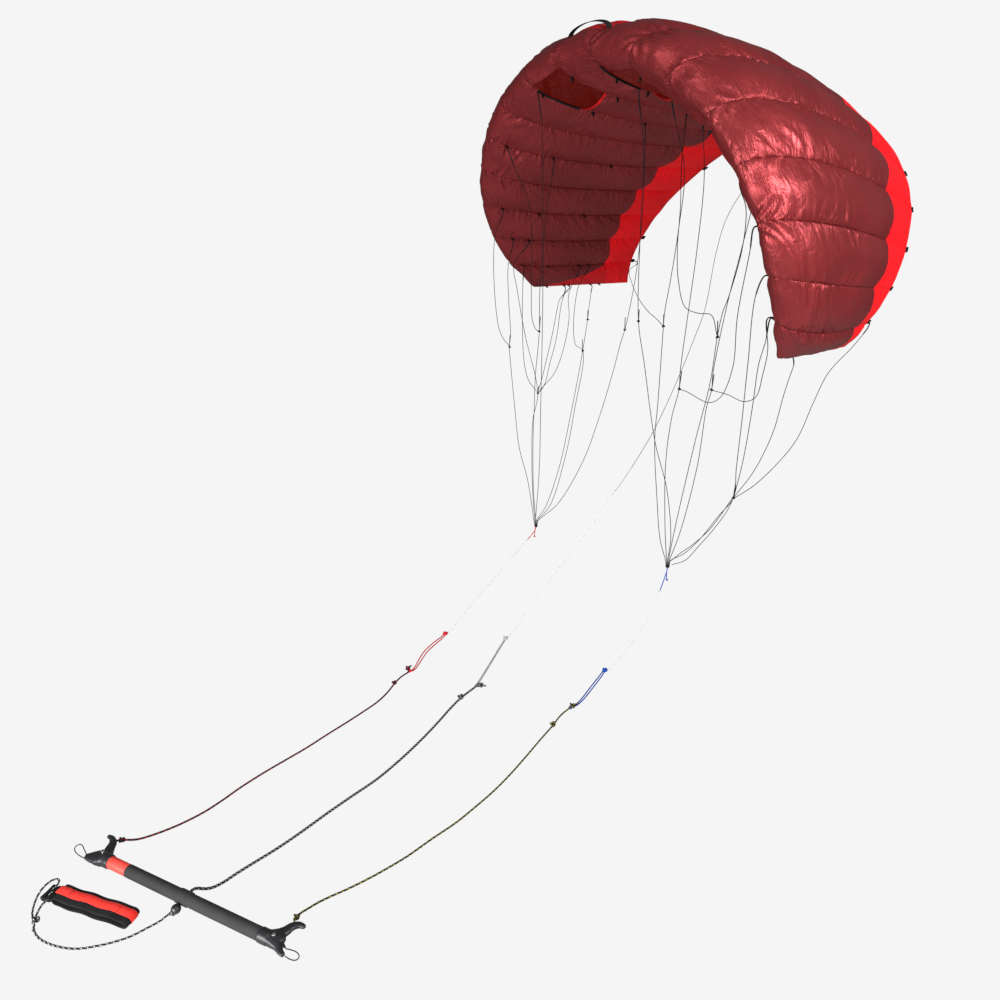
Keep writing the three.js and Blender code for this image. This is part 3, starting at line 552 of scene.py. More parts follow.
def ripstop_group():
    """Ripstop weave: a fine grid of thicker threads, each a narrow ridge where the cloth coordinate is close
    to a whole number of spacings."""
    g, given, put = group("ripstop_grid", ["Cloth", ("Spacing", RIPSTOP_SPACING)], ["Height"])
    ridges = []
    for part in g.parts(given["Cloth"]):
        off = g.ridge(g.calc("FRACT", g.calc("DIVIDE", part, given["Spacing"])))
        ridges.append(g.calc("GREATER_THAN", off, (1 - RIPSTOP_RIDGE) / 2))
    g.feed(put["Height"], g.calc("MAXIMUM", *ridges))
    return g.tree


def braid_group():
    """Braided cover: two sets of opposite spirals round the cord, multiplied, and a tracer mask that is one
    thread's dashes on the same spiral. The cord's map is metres along it and turns round it."""
    g, given, put = group("braid", ["Cord", ("Pitch", 0.012), ("Share", 0.3)], ["Height", "Tracer"])
    along, round_it = g.parts(given["Cord"])
    turns = g.calc("DIVIDE", along, given["Pitch"])
    spirals = []
    for way in (1, -1):
        phase = g.plus(g.times(turns, 4), g.times(round_it, 4 * way))
        spirals.append(g.calc("ABSOLUTE", g.calc("SINE", g.times(phase, math.pi))))
    g.feed(put["Height"], g.times(*spirals))
    spiral = g.calc("FRACT", g.plus(turns, g.times(round_it, 2)))
    dash = g.calc("FRACT", g.calc("SUBTRACT", g.times(turns, 2), round_it))
    band = g.calc("LESS_THAN", spiral, given["Share"])
    g.feed(put["Tracer"], g.times(band, g.calc("LESS_THAN", dash, 0.6)))
    return g.tree


def grain_group():
    """Fine moulded or foamed grain, a noise whose scale is one over the grain's size, with a slow change of
    tone over the piece."""
    g, given, put = group("grain", ["Place", ("Size", 0.002)], ["Height", "Tone"])
    g.feed(put["Height"], g.noise(given["Place"], g.calc("DIVIDE", 1.0, given["Size"]), 3.0))
    g.feed(put["Tone"], g.noise(given["Place"], 18.0, 3.0))
    return g.tree


CREASES = crease_group()
RIPSTOP = ripstop_group()
BRAID = braid_group()
GRAIN = grain_group()


def new_material(name, slot, roughness, metallic=0.0, specular=0.5):
    """Material kept in LOOKS under its name, with a slot name beside it.
    Gives back its graph and the inputs of its Principled shader."""
    material = bpy.data.materials.new(name)
    material.use_nodes = True
    LOOKS[name] = (material, slot)
    g, shader = Graph(material.node_tree), material.node_tree.nodes["Principled BSDF"].inputs
    g.feed(shader["Roughness"], roughness)
    g.feed(shader["Metallic"], metallic)
    g.feed(shader["Specular IOR Level"], specular)
    return g, shader


def bump(g, shader, height, distance=1.0):
    """Turns a height in metres, once it is multiplied by the distance, into the shader's normal."""
    normal = g.node("Bump", {"Height": height, "Distance": distance, "Strength": 1.0}, "Normal")
    g.feed(shader["Normal"], normal)


def nylon(name, colour, other, roughness, metallic, crumple, specular=0.5, tint=(1, 1, 1)):
    """Coated nylon: `colour`, or `other` where the piece's own red_side attribute is above zero, with small
    creases, a ripstop grid and a slightly uneven sheen. It is darker in the rib seams' groove."""
    g, shader = new_material(name, name, roughness, metallic, specular)
    g.feed(shader["Specular Tint"], tint)
    creases = g.use(CREASES, g.cloth(), Gather=g.attribute("gather"), Crumple=crumple)
    grid = g.use(RIPSTOP, g.cloth(), Spacing=RIPSTOP_SPACING)
    tone = g.spread(g.noise(g.place(), 5.0, 3.0), 0.3, 0.7, 0.86, 1.12)
    base = g.mix(g.spread(g.attribute("red_side"), -SIDE_BLUR, SIDE_BLUR), colour, other)
    groove = g.spread(g.attribute("rib_distance"), 0.0, GROOVE_WIDTH, 0.6, 1.0)
    g.feed(shader["Base Color"], g.toned(base, g.times(tone, groove)))
    g.feed(shader["Roughness"], g.spread(creases["Shade"], 0.25, 0.75, roughness - 0.05, roughness + 0.07))
    bump(g, shader, g.plus(creases["Height"], g.times(grid["Height"], RIPSTOP_HEIGHT)))
    return g, shader


def rope(name, slot, colour, tracer, pitch, share_of_turn, diameter, zones=()):
    """Braided cord of one colour with a tracer thread of another. Each zone (metres, colour) is a stretch
    from the cord's start to that distance, and covers the ones before it."""
    g, shader = new_material(name, slot, 0.8, 0.0, 0.15)
    braid = g.use(BRAID, g.cloth(), Pitch=pitch, Share=share_of_turn)
    cover = g.mix(braid["Tracer"], colour, tracer)
    for reach, zone_colour in zones:
        cover = g.mix(g.calc("LESS_THAN", g.parts(g.cloth())[0], reach), cover, zone_colour)
    # Painted shade and highlight: the cover is darker in the hollows between the braid's strands and lighter
    # on their crowns
    g.feed(shader["Base Color"], g.toned(cover, g.spread(braid["Height"], 0.0, 1.0, 0.55, 1.15)))
    bump(g, shader, braid["Height"], diameter * BRAID_HEIGHT)


def grained(name, slot, colour, roughness, size, depth, specular=0.5, metallic=0.0, tones=(0.85, 1.15)):
    """Foam, rubber, moulded plastic or metal: one colour with a slow change of tone and a fine grain."""
    g, shader = new_material(name, slot, roughness, metallic, specular)
    grain = g.use(GRAIN, g.place(), Size=size)
    g.feed(shader["Base Color"], g.toned(colour, g.spread(grain["Tone"], 0.3, 0.7, *tones)))
    g.feed(shader["Roughness"], g.spread(grain["Height"], 0.3, 0.7, roughness - 0.06, roughness + 0.06))
    bump(g, shader, grain["Height"], depth)


def webbing(name, colour, dark, sheen):
    """Woven tape: rows of small ribs along and across it, with painted shade between them."""
    g, shader = new_material(name, name, 0.75, 0.0, 0.25)
    g.feed(shader["Sheen Weight"], sheen)
    braid = g.use(BRAID, g.cloth(), Pitch=WEBBING_ROW * 4, Share=0.0)
    grid = g.use(RIPSTOP, g.cloth(), Spacing=WEBBING_ROW)
    height = g.calc("SUBTRACT", braid["Height"], grid["Height"])
    # Painted shade: the dark colour lies in the hollows between the woven ribs
    g.feed(shader["Base Color"], g.mix(g.spread(height, -0.6, 0.8), dark, colour))
    bump(g, shader, height, WEBBING_HEIGHT)


BURGUNDY = (0.255, 0.028, 0.031)
BRIGHT_RED = (1.0, 0.008, 0.014)
# Last, the mouths' lining gets a painted glow: a faint emission that stands in for the light coming through
# thin cloth
nylon("burgundy_nylon", BURGUNDY, BRIGHT_RED, 0.33, 0.5, 1.0, 0.5, (1, 0.6, 0.62))
nylon("red_nylon", BRIGHT_RED, BURGUNDY, 0.55, 0.0, 0.25, 0.3, (1, 0.4, 0.36))
lining, lining_shader = nylon("inner_nylon", (0.2, 0.018, 0.015), BRIGHT_RED, 0.7, 0.0, 0.3)
# Painted light: the lining's emission makes it glow though it is no lamp
lining.feed(lining_shader["Emission Color"], (0.3, 0.012, 0.006))
lining.feed(lining_shader["Emission Strength"], 0.24)
webbing("black_webbing", (0.009, 0.009, 0.01), (0.004, 0.004, 0.004), sheen=0.0)
webbing("red_webbing", (0.98, 0.03, 0.018), (0.9, 0.022, 0.014), sheen=0.1)

DARK = (0.012, 0.012, 0.013)
GREY = (0.3, 0.3, 0.3)
RED_CORD = (0.78, 0.03, 0.045)
BLUE_CORD = (0.02, 0.085, 0.52)
# Colour, tracer, pitch of the braid, the tracer's share of a turn, and the cord's diameter
ROPES = {
    "bridle_cord": {"dark_cord": (DARK, (0.03, 0.03, 0.033), 0.006, 0.3, BRIDLE)},
    "red_cord": {"red_cord": (RED_CORD, (0.8, 0.03, 0.03), 0.008, 0.3, LOOP_CORD)},
    "blue_cord": {"blue_cord": (BLUE_CORD, (0.02, 0.1, 0.6), 0.008, 0.3, LOOP_CORD)},
    "grey_cord": {"grey_cord": ((0.56, 0.56, 0.57), (0.62, 0.62, 0.62), 0.008, 0.3, LOOP_CORD)},
    "leader_rope": {
        "rope_red": ((0.018, 0.018, 0.02), (0.5, 0.02, 0.03), 0.016, 0.36, LEADER),
        "rope_white": ((0.028, 0.028, 0.03), (0.42, 0.42, 0.41), 0.011, 0.4, LEADER),
        "rope_yellow": ((0.02, 0.022, 0.02), (0.5, 0.42, 0.06), 0.016, 0.36, LEADER),
        "leash_rope": ((0.018, 0.018, 0.02), (0.66, 0.66, 0.64), 0.014, 0.26, LEASH),
    },
}
for slot, ropes in ROPES.items():
    for name, values in ropes.items():
        rope(name, slot, *values)
# The flying lines are white, with other colours at their start
LINE_ZONES = {"line_left": [(RED_START, RED_CORD)], "line_right": [(BLUE_START, BLUE_CORD)],
              "line_middle": [(MIDDLE_GREY, GREY), (MIDDLE_DARK, DARK)]}
for name, zones in LINE_ZONES.items():
    rope(name, "white_cord", (0.85, 0.85, 0.84), (0.78, 0.78, 0.78), 0.006, 0.3, FLYING_LINE, zones)

# Colour, roughness, size and depth of the grain, and for some their specular level, metallic or tones
grained("grip_foam", "grip_foam", (0.03, 0.03, 0.031), 0.82, 0.0016, 0.0003, 0.3)
grained("red_plastic", "red_sleeve", (0.86, 0.06, 0.045), 0.5, 0.003, 0.0001)
grained("moulded_black", "black_plastic", (0.018, 0.018, 0.021), 0.36, 0.0011, 0.00008)
grained("brushed_knit", "black_padding", (0.012, 0.012, 0.013), 0.9, 0.0018, 0.0007, 0.2, tones=(0.7, 1.5))
grained("rivet_steel", "black_plastic", (0.62, 0.62, 0.63), 0.28, 0.002, 0.00003, metallic=1.0)


# Cords. Routes are listed points in the canopy's frame, and those of the leash and the elastic loops in
# the bar's own frame.
def up(height):
    """A step straight up."""
    return np.array([0, 0, height])


def lying(route, height):
    """A route whose points of two numbers lie at the given height."""
    return np.array([(*p, height) if len(p) == 2 else p for p in route], float)


def hung(route, height=None):
    """A route moved from the canopy's frame to the row frame."""
    return lying(route, height) - HANG


def tab(rib, t, tape=0.0):
    """A line's start: just clear of the lower skin at a rib, or of the tape on it, then straight out."""
    return [skin(rib, t, -1, tape + TAB_CLEAR + out) + HANG for out in (0.0, TAB_LENGTH)]


def tail_tab(rib):
    """A line's start at the trailing edge, straight out of it."""
    return [skin(rib, 1 + out / chord_at(rib), -1, -EDGE / 2) + HANG for out in (TAB_CLEAR, TAB_LENGTH)]


def onto_knot(middle, slot):
    """A line's end on top of a gathering knot, whose top is an ellipse: `slot` counts from the middle of the
    row. The lines come down onto it spread a little wider than they end."""
    off = slot * KNOT_PITCH
    top = KNOT_HALF[2] * math.sqrt(1 - (off / KNOT_HALF[0]) ** 2)
    row = np.array([math.cos(KNOT_ROW_TURN), math.sin(KNOT_ROW_TURN), 0])
    end = np.array(middle) + row * off + up(top + KNOT_CLEAR)
    return [end + row * off * KNOT_SPREAD + up(KNOT_DROP), end]


def add_cord(name, path, radius, look, node=None, sides=8):
    """Tube along a path in the row frame, made as a piece that stands for the given CAD node."""
    obj = piece(name, tube(path, radius, sides), look, [node] if node else [], sharp=75)


def thicker_start(path, reach, stand, taper):
    """What a cord's radius gains at its start: `stand`, which dies away over `taper` and ends at `reach`."""
    gone = np.linspace(0, route_length(path), len(path))
    return stand * np.clip((reach - gone) / taper, 0, 1)


def bridle_line(name, route, node=None, sleeved=True):
    """Thin dark line; its first few centimetres are a thicker sleeve where it is looped onto its tab."""
    path = smooth_route(hung(route), CORD_STEP)
    sleeve = thicker_start(path, PIGTAIL, *BRIDLE_SLEEVE) if sleeved else 0.0
    add_cord(name, path, BRIDLE_SHOWN / 2 + sleeve, "dark_cord", node)


BRIDLE_LINES = {
    "bridle_left_1": [
        *tab(2, 0.09), (-0.735, 0.335, -0.62), (-0.725, 0.33, -0.76), (-0.71, 0.33, -0.905),
        (-0.705, 0.32, -0.955), (-0.68, 0.31, -1.04), (-0.625, 0.29, -1.205), (-0.56, 0.265, -1.36),
        (-0.485, 0.255, -1.49), *onto_knot(KNOT_LEFT, -2.5),
    ],
    "bridle_left_2": [
        *tab(2, 0.18), (-0.74, 0.37, -0.62), (-0.725, 0.375, -0.72), (-0.68, 0.385, -0.905),
        (-0.605, 0.4, -1.15), (-0.58, 0.355, -1.255), (-0.535, 0.315, -1.375), (-0.47, 0.27, -1.53),
        *onto_knot(KNOT_LEFT, -1.5),
    ],
    "bridle_left_3": [
        *tab(7, 0.04, BINDING_STAND), (-0.245, 0.1, -0.15), (-0.32, 0.17, -0.37), (-0.38, 0.23, -0.685),
        (-0.415, 0.26, -1.155), (-0.41, 0.255, -1.42), *onto_knot(KNOT_LEFT, -0.5),
    ],
    "bridle_left_4": [
        *tab(0, 0.58), (-0.815, 0.89, -0.765), (-0.71, 0.78, -0.83), (-0.645, 0.715, -0.865),
        (-0.595, 0.635, -1.05), (-0.525, 0.515, -1.29), (-0.465, 0.415, -1.45), (-0.415, 0.3, -1.595),
        *onto_knot(KNOT_LEFT, 0.5),
    ],
    "bridle_left_5": [
        *tab(1, 0.58), (-0.745, 0.74, -0.74), (-0.655, 0.655, -0.97), (-0.615, 0.665, -0.995),
        (-0.54, 0.56, -1.235), (-0.465, 0.445, -1.42), (-0.4, 0.31, -1.59), *onto_knot(KNOT_LEFT, 1.5),
    ],
    "bridle_left_6": [
        *tab(7, 0.43), (-0.245, 0.6, -0.37), (-0.295, 0.64, -0.63), (-0.32, 0.635, -0.805),
        (-0.33, 0.63, -0.865), (-0.335, 0.615, -0.92), (-0.335, 0.58, -1.035), (-0.34, 0.515, -1.23),
        (-0.34, 0.435, -1.4), (-0.36, 0.32, -1.57), *onto_knot(KNOT_LEFT, 2.5),
    ],
    "bridle_left_7": [
        *tab(0, 0.3), (-0.82, 0.71, -0.81), (-0.73, 0.605, -0.955), (-0.67, 0.52, -1.045),
        (-0.625, 0.455, -1.12), (-0.6075, 0.413, -1.146), (-0.6054, 0.402, -1.1496),
    ],
    "bridle_right_1": [
        *tab(10, 0.18), (0.175, 0.33, -0.29), (0.14, 0.365, -0.465), (0.115, 0.375, -0.62),
        (0.1, 0.375, -0.73), (0.095, 0.38, -0.78), (0.145, 0.325, -1.035), (0.17, 0.295, -1.155),
        (0.24, 0.25, -1.34), (0.3, 0.215, -1.47), *onto_knot(KNOT_RIGHT, -2.5),
    ],
    "bridle_right_2": [
        *tab(10, 0.3), (0.185, 0.415, -0.315), (0.19, 0.405, -0.525), (0.2, 0.375, -0.75),
        (0.215, 0.345, -0.91), (0.225, 0.335, -0.97), (0.225, 0.31, -1.065), (0.245, 0.275, -1.215),
        (0.31, 0.225, -1.435), *onto_knot(KNOT_RIGHT, -1.5),
    ],
    "bridle_right_3": [
        *tab(9, 0.18, BINDING_STAND), (0.04, 0.285, -0.225), (0.01, 0.325, -0.465), (0.005, 0.35, -0.77),
        (0.055, 0.34, -0.91), (0.165, 0.305, -1.17), (0.25, 0.285, -1.31), (0.325, 0.24, -1.46),
        *onto_knot(KNOT_RIGHT, -0.5),
    ],
    "bridle_right_4": [
        *tab(13, 0.09), (0.485, 0.24, -0.405), (0.46, 0.275, -0.51), (0.405, 0.31, -0.65),
        (0.385, 0.315, -0.7), (0.375, 0.315, -0.775), (0.365, 0.315, -0.925), (0.35, 0.29, -1.11),
        (0.345, 0.235, -1.405), *onto_knot(KNOT_RIGHT, 0.5),
    ],
    "bridle_right_5": [
        *tab(12, 0.3), (0.4, 0.385, -0.375), (0.38, 0.38, -0.52), (0.36, 0.37, -0.665), (0.35, 0.345, -0.895),
        (0.355, 0.34, -0.95), (0.35, 0.33, -1.005), (0.36, 0.3, -1.2), (0.362, 0.24, -1.43),
        *onto_knot(KNOT_RIGHT, 1.5),
    ],
    "bridle_right_6": [
        *tab(15, 0.04), (0.56, 0.225, -0.625), (0.515, 0.29, -0.83), (0.49, 0.33, -1.005),
        (0.47, 0.36, -1.195), (0.465, 0.37, -1.3), (0.44, 0.335, -1.365), (0.42, 0.3, -1.425),
        (0.405, 0.27, -1.465), (0.385, 0.24, -1.5), *onto_knot(KNOT_RIGHT, 2.5),
    ],
    "bridle_right_7": [
        *tab(16, 0.04), (0.545, 0.32, -0.77), (0.525, 0.33, -0.84), (0.505, 0.355, -0.975),
        (0.485, 0.37, -1.16), (0.473, 0.364, -1.28), (0.4674, 0.369, -1.297),
    ],
    "bridle_right_8": [
        *tab(17, 0.3), (0.487, 0.561, -0.83), (0.495, 0.565, -0.87), (0.49, 0.56, -0.91), (0.49, 0.54, -0.97),
        (0.495, 0.5, -1.09), (0.485, 0.44, -1.21), (0.469, 0.386, -1.282), (0.4658, 0.3722, -1.2975),
    ],
    "bridle_right_9": [
        *tail_tab(16), (0.493, 1.001, -0.784), (0.49, 0.93, -0.845), (0.47, 0.825, -0.935),
        (0.48, 0.74, -1.03), (0.5, 0.64, -1.135), (0.495, 0.555, -1.205), (0.48, 0.455, -1.27),
        (0.467, 0.384, -1.298), (0.4654, 0.3724, -1.3015),
    ],
}
for name, route in BRIDLE_LINES.items():
    bridle_line(f"{name}_cord", route, name)

# Finer lines of the bridle, which have no solids: from tabs to knots higher up. The last two start at a knot.
FINE_LINES = {
    "fine_left_1": [
        *tab(3, 0.072), (-0.69, 0.235, -0.5), (-0.715, 0.245, -0.645), (-0.725, 0.275, -0.86),
        (-0.72, 0.295, -0.915), (-0.706, 0.318, -0.949),
    ],
    "fine_left_2": [
        *tab(1, 0.07), (-0.78, 0.45, -0.69), (-0.73, 0.41, -0.89), (-0.68, 0.385, -1.04),
        (-0.65, 0.385, -1.1), (-0.61, 0.398, -1.143),
    ],
    "fine_left_3": [
        *tab(5, 0.058), (-0.467, 0.16, -0.265), (-0.475, 0.23, -0.37), (-0.49, 0.26, -0.475),
        (-0.53, 0.295, -0.7), (-0.54, 0.31, -0.82), (-0.535, 0.325, -0.86), (-0.53, 0.338, -0.87),
    ],
    "fine_left_4": [
        *tab(5, 0.236), (-0.475, 0.325, -0.37), (-0.505, 0.33, -0.55), (-0.525, 0.335, -0.705),
        (-0.53, 0.34, -0.87), (-0.525, 0.33, -0.945), (-0.52, 0.315, -1.05), (-0.505, 0.3, -1.18),
        (-0.485, 0.28, -1.31), (-0.44, 0.25, -1.515), (-0.4, 0.234, -1.646),
    ],
    "fine_left_5": [
        *tab(0, 0.348), (-0.845, 0.72, -0.795), (-0.825, 0.69, -0.83), (-0.76, 0.61, -0.925),
        (-0.68, 0.505, -1.04), (-0.625, 0.435, -1.105), (-0.608, 0.402, -1.145),
    ],
    "fine_left_6": [
        *tab(1, 0.5), (-0.8, 0.735, -0.77), (-0.77, 0.715, -0.87), (-0.69, 0.615, -0.995),
        (-0.64, 0.525, -1.08), (-0.62, 0.455, -1.12), (-0.606, 0.404, -1.145),
    ],
    "fine_left_7": [
        *tail_tab(1), (-0.768, 1.141, -0.642), (-0.7, 1.02, -0.67), (-0.55, 0.885, -0.71),
        (-0.33, 0.705, -0.75), (-0.165, 0.58, -0.77), (-0.025, 0.475, -0.775), (0.093, 0.38, -0.779),
    ],
    "fine_right_1": [
        *tab(8, 0.48), (0.04, 0.47, -0.27), (0.11, 0.4, -0.39), (0.155, 0.35, -0.525), (0.195, 0.32, -0.615),
        (0.25, 0.3, -0.695), (0.295, 0.31, -0.71), (0.34, 0.32, -0.712), (0.372, 0.316, -0.77),
    ],
    "fine_right_2": [
        *tab(14, 0.056), (0.545, 0.195, -0.51), (0.47, 0.275, -0.7), (0.43, 0.335, -0.865),
        (0.385, 0.35, -0.97), (0.345, 0.345, -0.995), (0.255, 0.34, -0.975), (0.228, 0.336, -0.971),
    ],
    "fine_right_3": [
        *tab(16, 0.065), (0.543, 0.318, -0.701), (0.56, 0.315, -0.79), (0.54, 0.335, -0.87),
        (0.515, 0.35, -0.945), (0.48, 0.345, -0.965), (0.415, 0.345, -0.955), (0.358, 0.34, -0.951),
    ],
    "fine_right_4": [
        (0.462, 0.366, -1.304), (0.445, 0.335, -1.365), (0.43, 0.31, -1.41), (0.4, 0.27, -1.465),
        (0.375, 0.235, -1.5), (0.358, 0.21, -1.528),
    ],
    "fine_right_5": [
        (0.466, 0.366, -1.306), (0.46, 0.35, -1.345), (0.44, 0.315, -1.41), (0.42, 0.275, -1.465),
        (0.395, 0.24, -1.52), (0.364, 0.21, -1.54),
    ],
}
for name, route in FINE_LINES.items():
    bridle_line(name, route, sleeved=name not in ("fine_right_4", "fine_right_5"))

# Flying lines and the middle line, which starts at the trailing edge
LINES = {
    "line_left": [
        (-0.395, 0.23, -1.6676), (-0.395, 0.228, -1.678), (-0.395, 0.205, -1.699), (-0.394, 0.15, -1.74),
        (-0.393, 0.09, -1.784), (-0.392, 0.03, -1.827), (-0.391, -0.03, -1.869), (-0.39, -0.085, -1.908),
        (-0.389, -0.14, -1.949), (-0.388, -0.18, -1.982), (-0.387, -0.205, -2.001), (-0.386, -0.225, -2.012),
        (-0.385, -0.24, -2.0165),
    ],
    "line_right": [
        (0.355, 0.2, -1.5526), (0.355, 0.199, -1.563), (0.352, 0.196, -1.585), (0.345, 0.19, -1.625),
        (0.335, 0.183, -1.675), (0.32, 0.175, -1.735), (0.3, 0.165, -1.795), (0.28, 0.152, -1.85),
        (0.255, 0.138, -1.905), (0.232, 0.124, -1.955), (0.213, 0.113, -1.992), (0.202, 0.107, -2.01),
        (0.192, 0.101, -2.0165),
    ],
    "line_middle": [
        *tail_tab(8.5), (-0.007, 1.282, -0.098), (-0.025, 1.235, -0.13), (-0.06, 1.17, -0.18),
        (-0.1, 1.09, -0.255), (-0.135, 0.97, -0.425), (-0.13, 0.915, -0.555), (-0.085, 0.82, -0.775),
        (-0.075, 0.755, -0.89), (-0.06, 0.655, -1.045), (-0.04, 0.535, -1.195), (-0.035, 0.46, -1.28),
        (-0.025, 0.34, -1.39), (-0.025, 0.29, -1.43), (-0.065, 0.235, -1.55), (-0.105, 0.17, -1.665),
        (-0.145, 0.1, -1.78), (-0.175, 0.035, -1.88), (-0.197, -0.02, -1.965), (-0.206, -0.048, -2.004),
        (-0.212, -0.066, -2.0165),
    ],
}
# How far each line is thicker, and the look and route of the knotted tail that two of them start with
LINE_STARTS = {
    "line_left": (RED_START, "red_cord", [(-0.396, 0.229, -1.666), (-0.398, 0.227, -1.69),
                                          (-0.401, 0.228, -1.716)]),
    "line_right": (BLUE_START, "blue_cord", [(0.354, 0.201, -1.551), (0.351, 0.203, -1.575),
                                             (0.353, 0.205, -1.604)]),
    "line_middle": (0.05, None, None),
}
for name, route in LINES.items():
    thick_end, look, tail = LINE_STARTS[name]
    path = smooth_route(hung(route), CORD_STEP)
    if tail:
        hanging = smooth_route(hung(tail), CORD_STEP)
        tail_knot = knot(hung(tail)[-1] + up(0.003), 0.0024, 0.009, 0.4, 0.2)
        piece(f"{name}_tail", together([tube(hanging, 0.0015), tail_knot]), look)
    radius = FLYING_LINE / 2 + thicker_start(path, thick_end, *LINE_SLEEVE)
    add_cord(f"{name}_cord", path, radius, name, name)

# Doubled loops between the flying lines and the leader ropes
LOOPS = {
    "loop_left": [
        (-0.3849, -0.2407), (-0.382, -0.25), (-0.37, -0.272), (-0.35, -0.32), (-0.322, -0.375),
        (-0.29, -0.418), (-0.265, -0.447), (-0.243, -0.478), (-0.24, -0.497),
    ],
    "loop_right": [
        (0.1914, 0.0995), (0.193, 0.088), (0.21, 0.05), (0.24, -0.02), (0.268, -0.085), (0.281, -0.125),
        (0.284, -0.16),
    ],
    "loop_middle": [
        (-0.2117, -0.067), (-0.207, -0.074), (-0.17, -0.128), (-0.121, -0.198), (-0.07, -0.271),
        (-0.03, -0.329), (-0.017, -0.346),
    ],
}
# Look of each loop and how far apart its strands lie at most
LOOP_LOOKS = {"loop_left": ("red_cord", 0.013), "loop_right": ("blue_cord", 0.009),
              "loop_middle": ("grey_cord", 0.0042)}
# Its knots: which point of the path, how far above it, then the knot's cord, size, turn and lean
LOOP_KNOTS = [(1, 0.005, 0.0056, 0.022, 0.7, 0.3), (2, 0.006, 0.0056, 0.018, 1.9, -0.4),
              (-1, 0.0035, 0.0042, 0.016, 1.4, 0.2)]


def doubled(path, gap):
    """Down one side of a path, round its far end in a half circle and back up the other side. The strands
    part from STRAND_REACH to half the gap as a power of the sine of the length gone."""
    side = crossways(path)[0] * np.array([1, 1, 0])
    side = side / np.linalg.norm(side, axis=1, keepdims=True)
    gone = np.linspace(0, 1, len(path))[:, None]
    reach = STRAND_REACH + (gap / 2 - STRAND_REACH) * np.sin(math.pi * gone**0.8) ** 0.7
    ahead = (path[-1] - path[-2]) / np.linalg.norm(path[-1] - path[-2])
    a = np.linspace(0, math.pi, 9)[1:-1, None]
    turn = path[-1] + reach[-1] * (side[-1] * np.cos(a) + ahead * np.sin(a))
    return np.concatenate([path + side * reach, turn, (path - side * reach)[::-1]])


for name, route in LOOPS.items():
    path = smooth_route(hung(route, FLOOR + LOOP_CORD / 2), CORD_STEP)
    look, gap = LOOP_LOOKS[name]
    knots = together([knot(path[at] + up(above), *shape) for at, above, *shape in LOOP_KNOTS])
    tied = piece(f"{name}_knots", knots, look)
    strands = doubled(path[:-1], gap) + up((STRAND - LOOP_CORD) / 2)
    add_cord(f"{name}_cord", strands, STRAND / 2, look, name, 8)

# Leader ropes, from the loops to the bar
LEADERS = {
    "leader_left": [
        (-0.24, -0.4976), (-0.228, -0.541), (-0.208, -0.577), (-0.172, -0.63), (-0.146, -0.682),
        (-0.128, -0.74), (-0.107, -0.819), (-0.087, -0.902), (-0.067, -0.979), (-0.053, -1.051),
        (-0.037, -1.132), (-0.017, -1.21), (0.003, -1.27), (0.018, -1.328), (0.024, -1.403), (0.018, -1.472),
        (0.012, -1.504, -2.013), (0.004, -1.531, -2.005), (0, -1.543, -2.001), (-0.0006, -1.5503, -2),
    ],
    "leader_middle": [
        (-0.0165, -0.3467), (-0.005, -0.385), (0.0085, -0.431), (0.039, -0.499), (0.07, -0.559),
        (0.103, -0.627), (0.135, -0.699), (0.165, -0.775), (0.195, -0.866), (0.215, -0.963), (0.233, -1.045),
        (0.255, -1.135), (0.27, -1.208), (0.278, -1.267), (0.286, -1.322), (0.293, -1.36),
        (0.296, -1.388, -2.011), (0.293, -1.406, -2.005), (0.285, -1.42, -2.001), (0.2839, -1.4302, -2),
        (0.2874, -1.4368, -2),
    ],
    "leader_right": [
        (0.2842, -0.1608), (0.2855, -0.178), (0.296, -0.218), (0.318, -0.267), (0.351, -0.352),
        (0.392, -0.454), (0.426, -0.545), (0.449, -0.619), (0.467, -0.694), (0.482, -0.766), (0.492, -0.856),
        (0.503, -0.939), (0.506, -1.02), (0.505, -1.069), (0.502, -1.114), (0.497, -1.156), (0.495, -1.19),
        (0.498, -1.214, -2.013), (0.504, -1.233, -2.007), (0.512, -1.249, -2.002), (0.521, -1.2597, -2),
    ],
}
# Rope and its radius, the size of its knots, where its end knot and the end of its loose tail lie, and
# where its second knot is
LEADER_LOOKS = {
    "leader_left": ("rope_red", 0.0029, 0.021, (-0.256, -0.496), (-0.269, -0.473), (-0.205, -0.578)),
    "leader_middle": ("rope_white", 0.0037, 0.026, (-0.007, -0.339), (0.006, -0.321), (0.01, -0.432)),
    "leader_right": ("rope_yellow", 0.0026, 0.024, (0.283, -0.152), (0.283, -0.121), (0.318, -0.267)),
}
LYING = FLOOR + LEADER / 2
for name, route in LEADERS.items():
    path = smooth_route(hung(route, LYING), CORD_STEP)
    look, radius, size, end_knot, tail_end, second_knot = LEADER_LOOKS[name]
    raised = up(0.0045)
    tail = [path[1] + raised, canopy_point(*end_knot, LYING + 0.007), canopy_point(*tail_end, LYING)]
    end_piece = together([knot(canopy_point(*end_knot, LYING + 0.006), LEADER_KNOT_CORD, size, 0.5, 0.3),
                          tube(smooth_route(tail, 0.004), LEADER / 2 * 0.93, 12)])
    second = path[np.linalg.norm(path - canopy_point(*second_knot, LYING), axis=1).argmin()]
    second_piece = knot(second + raised, LEADER_KNOT_CORD, size, 1.3, 0.2)
    tied = [piece(f"{name}_end_knot", end_piece, look), piece(f"{name}_second_knot", second_piece, look)]
    if name != "leader_middle":
        tied.append(piece(f"{name}_bar_knot", knot(path[-3], 0.0052, 0.019, 0.9, 0.5), look))
    add_cord(f"{name}_cord", path, radius, look, name, 12)

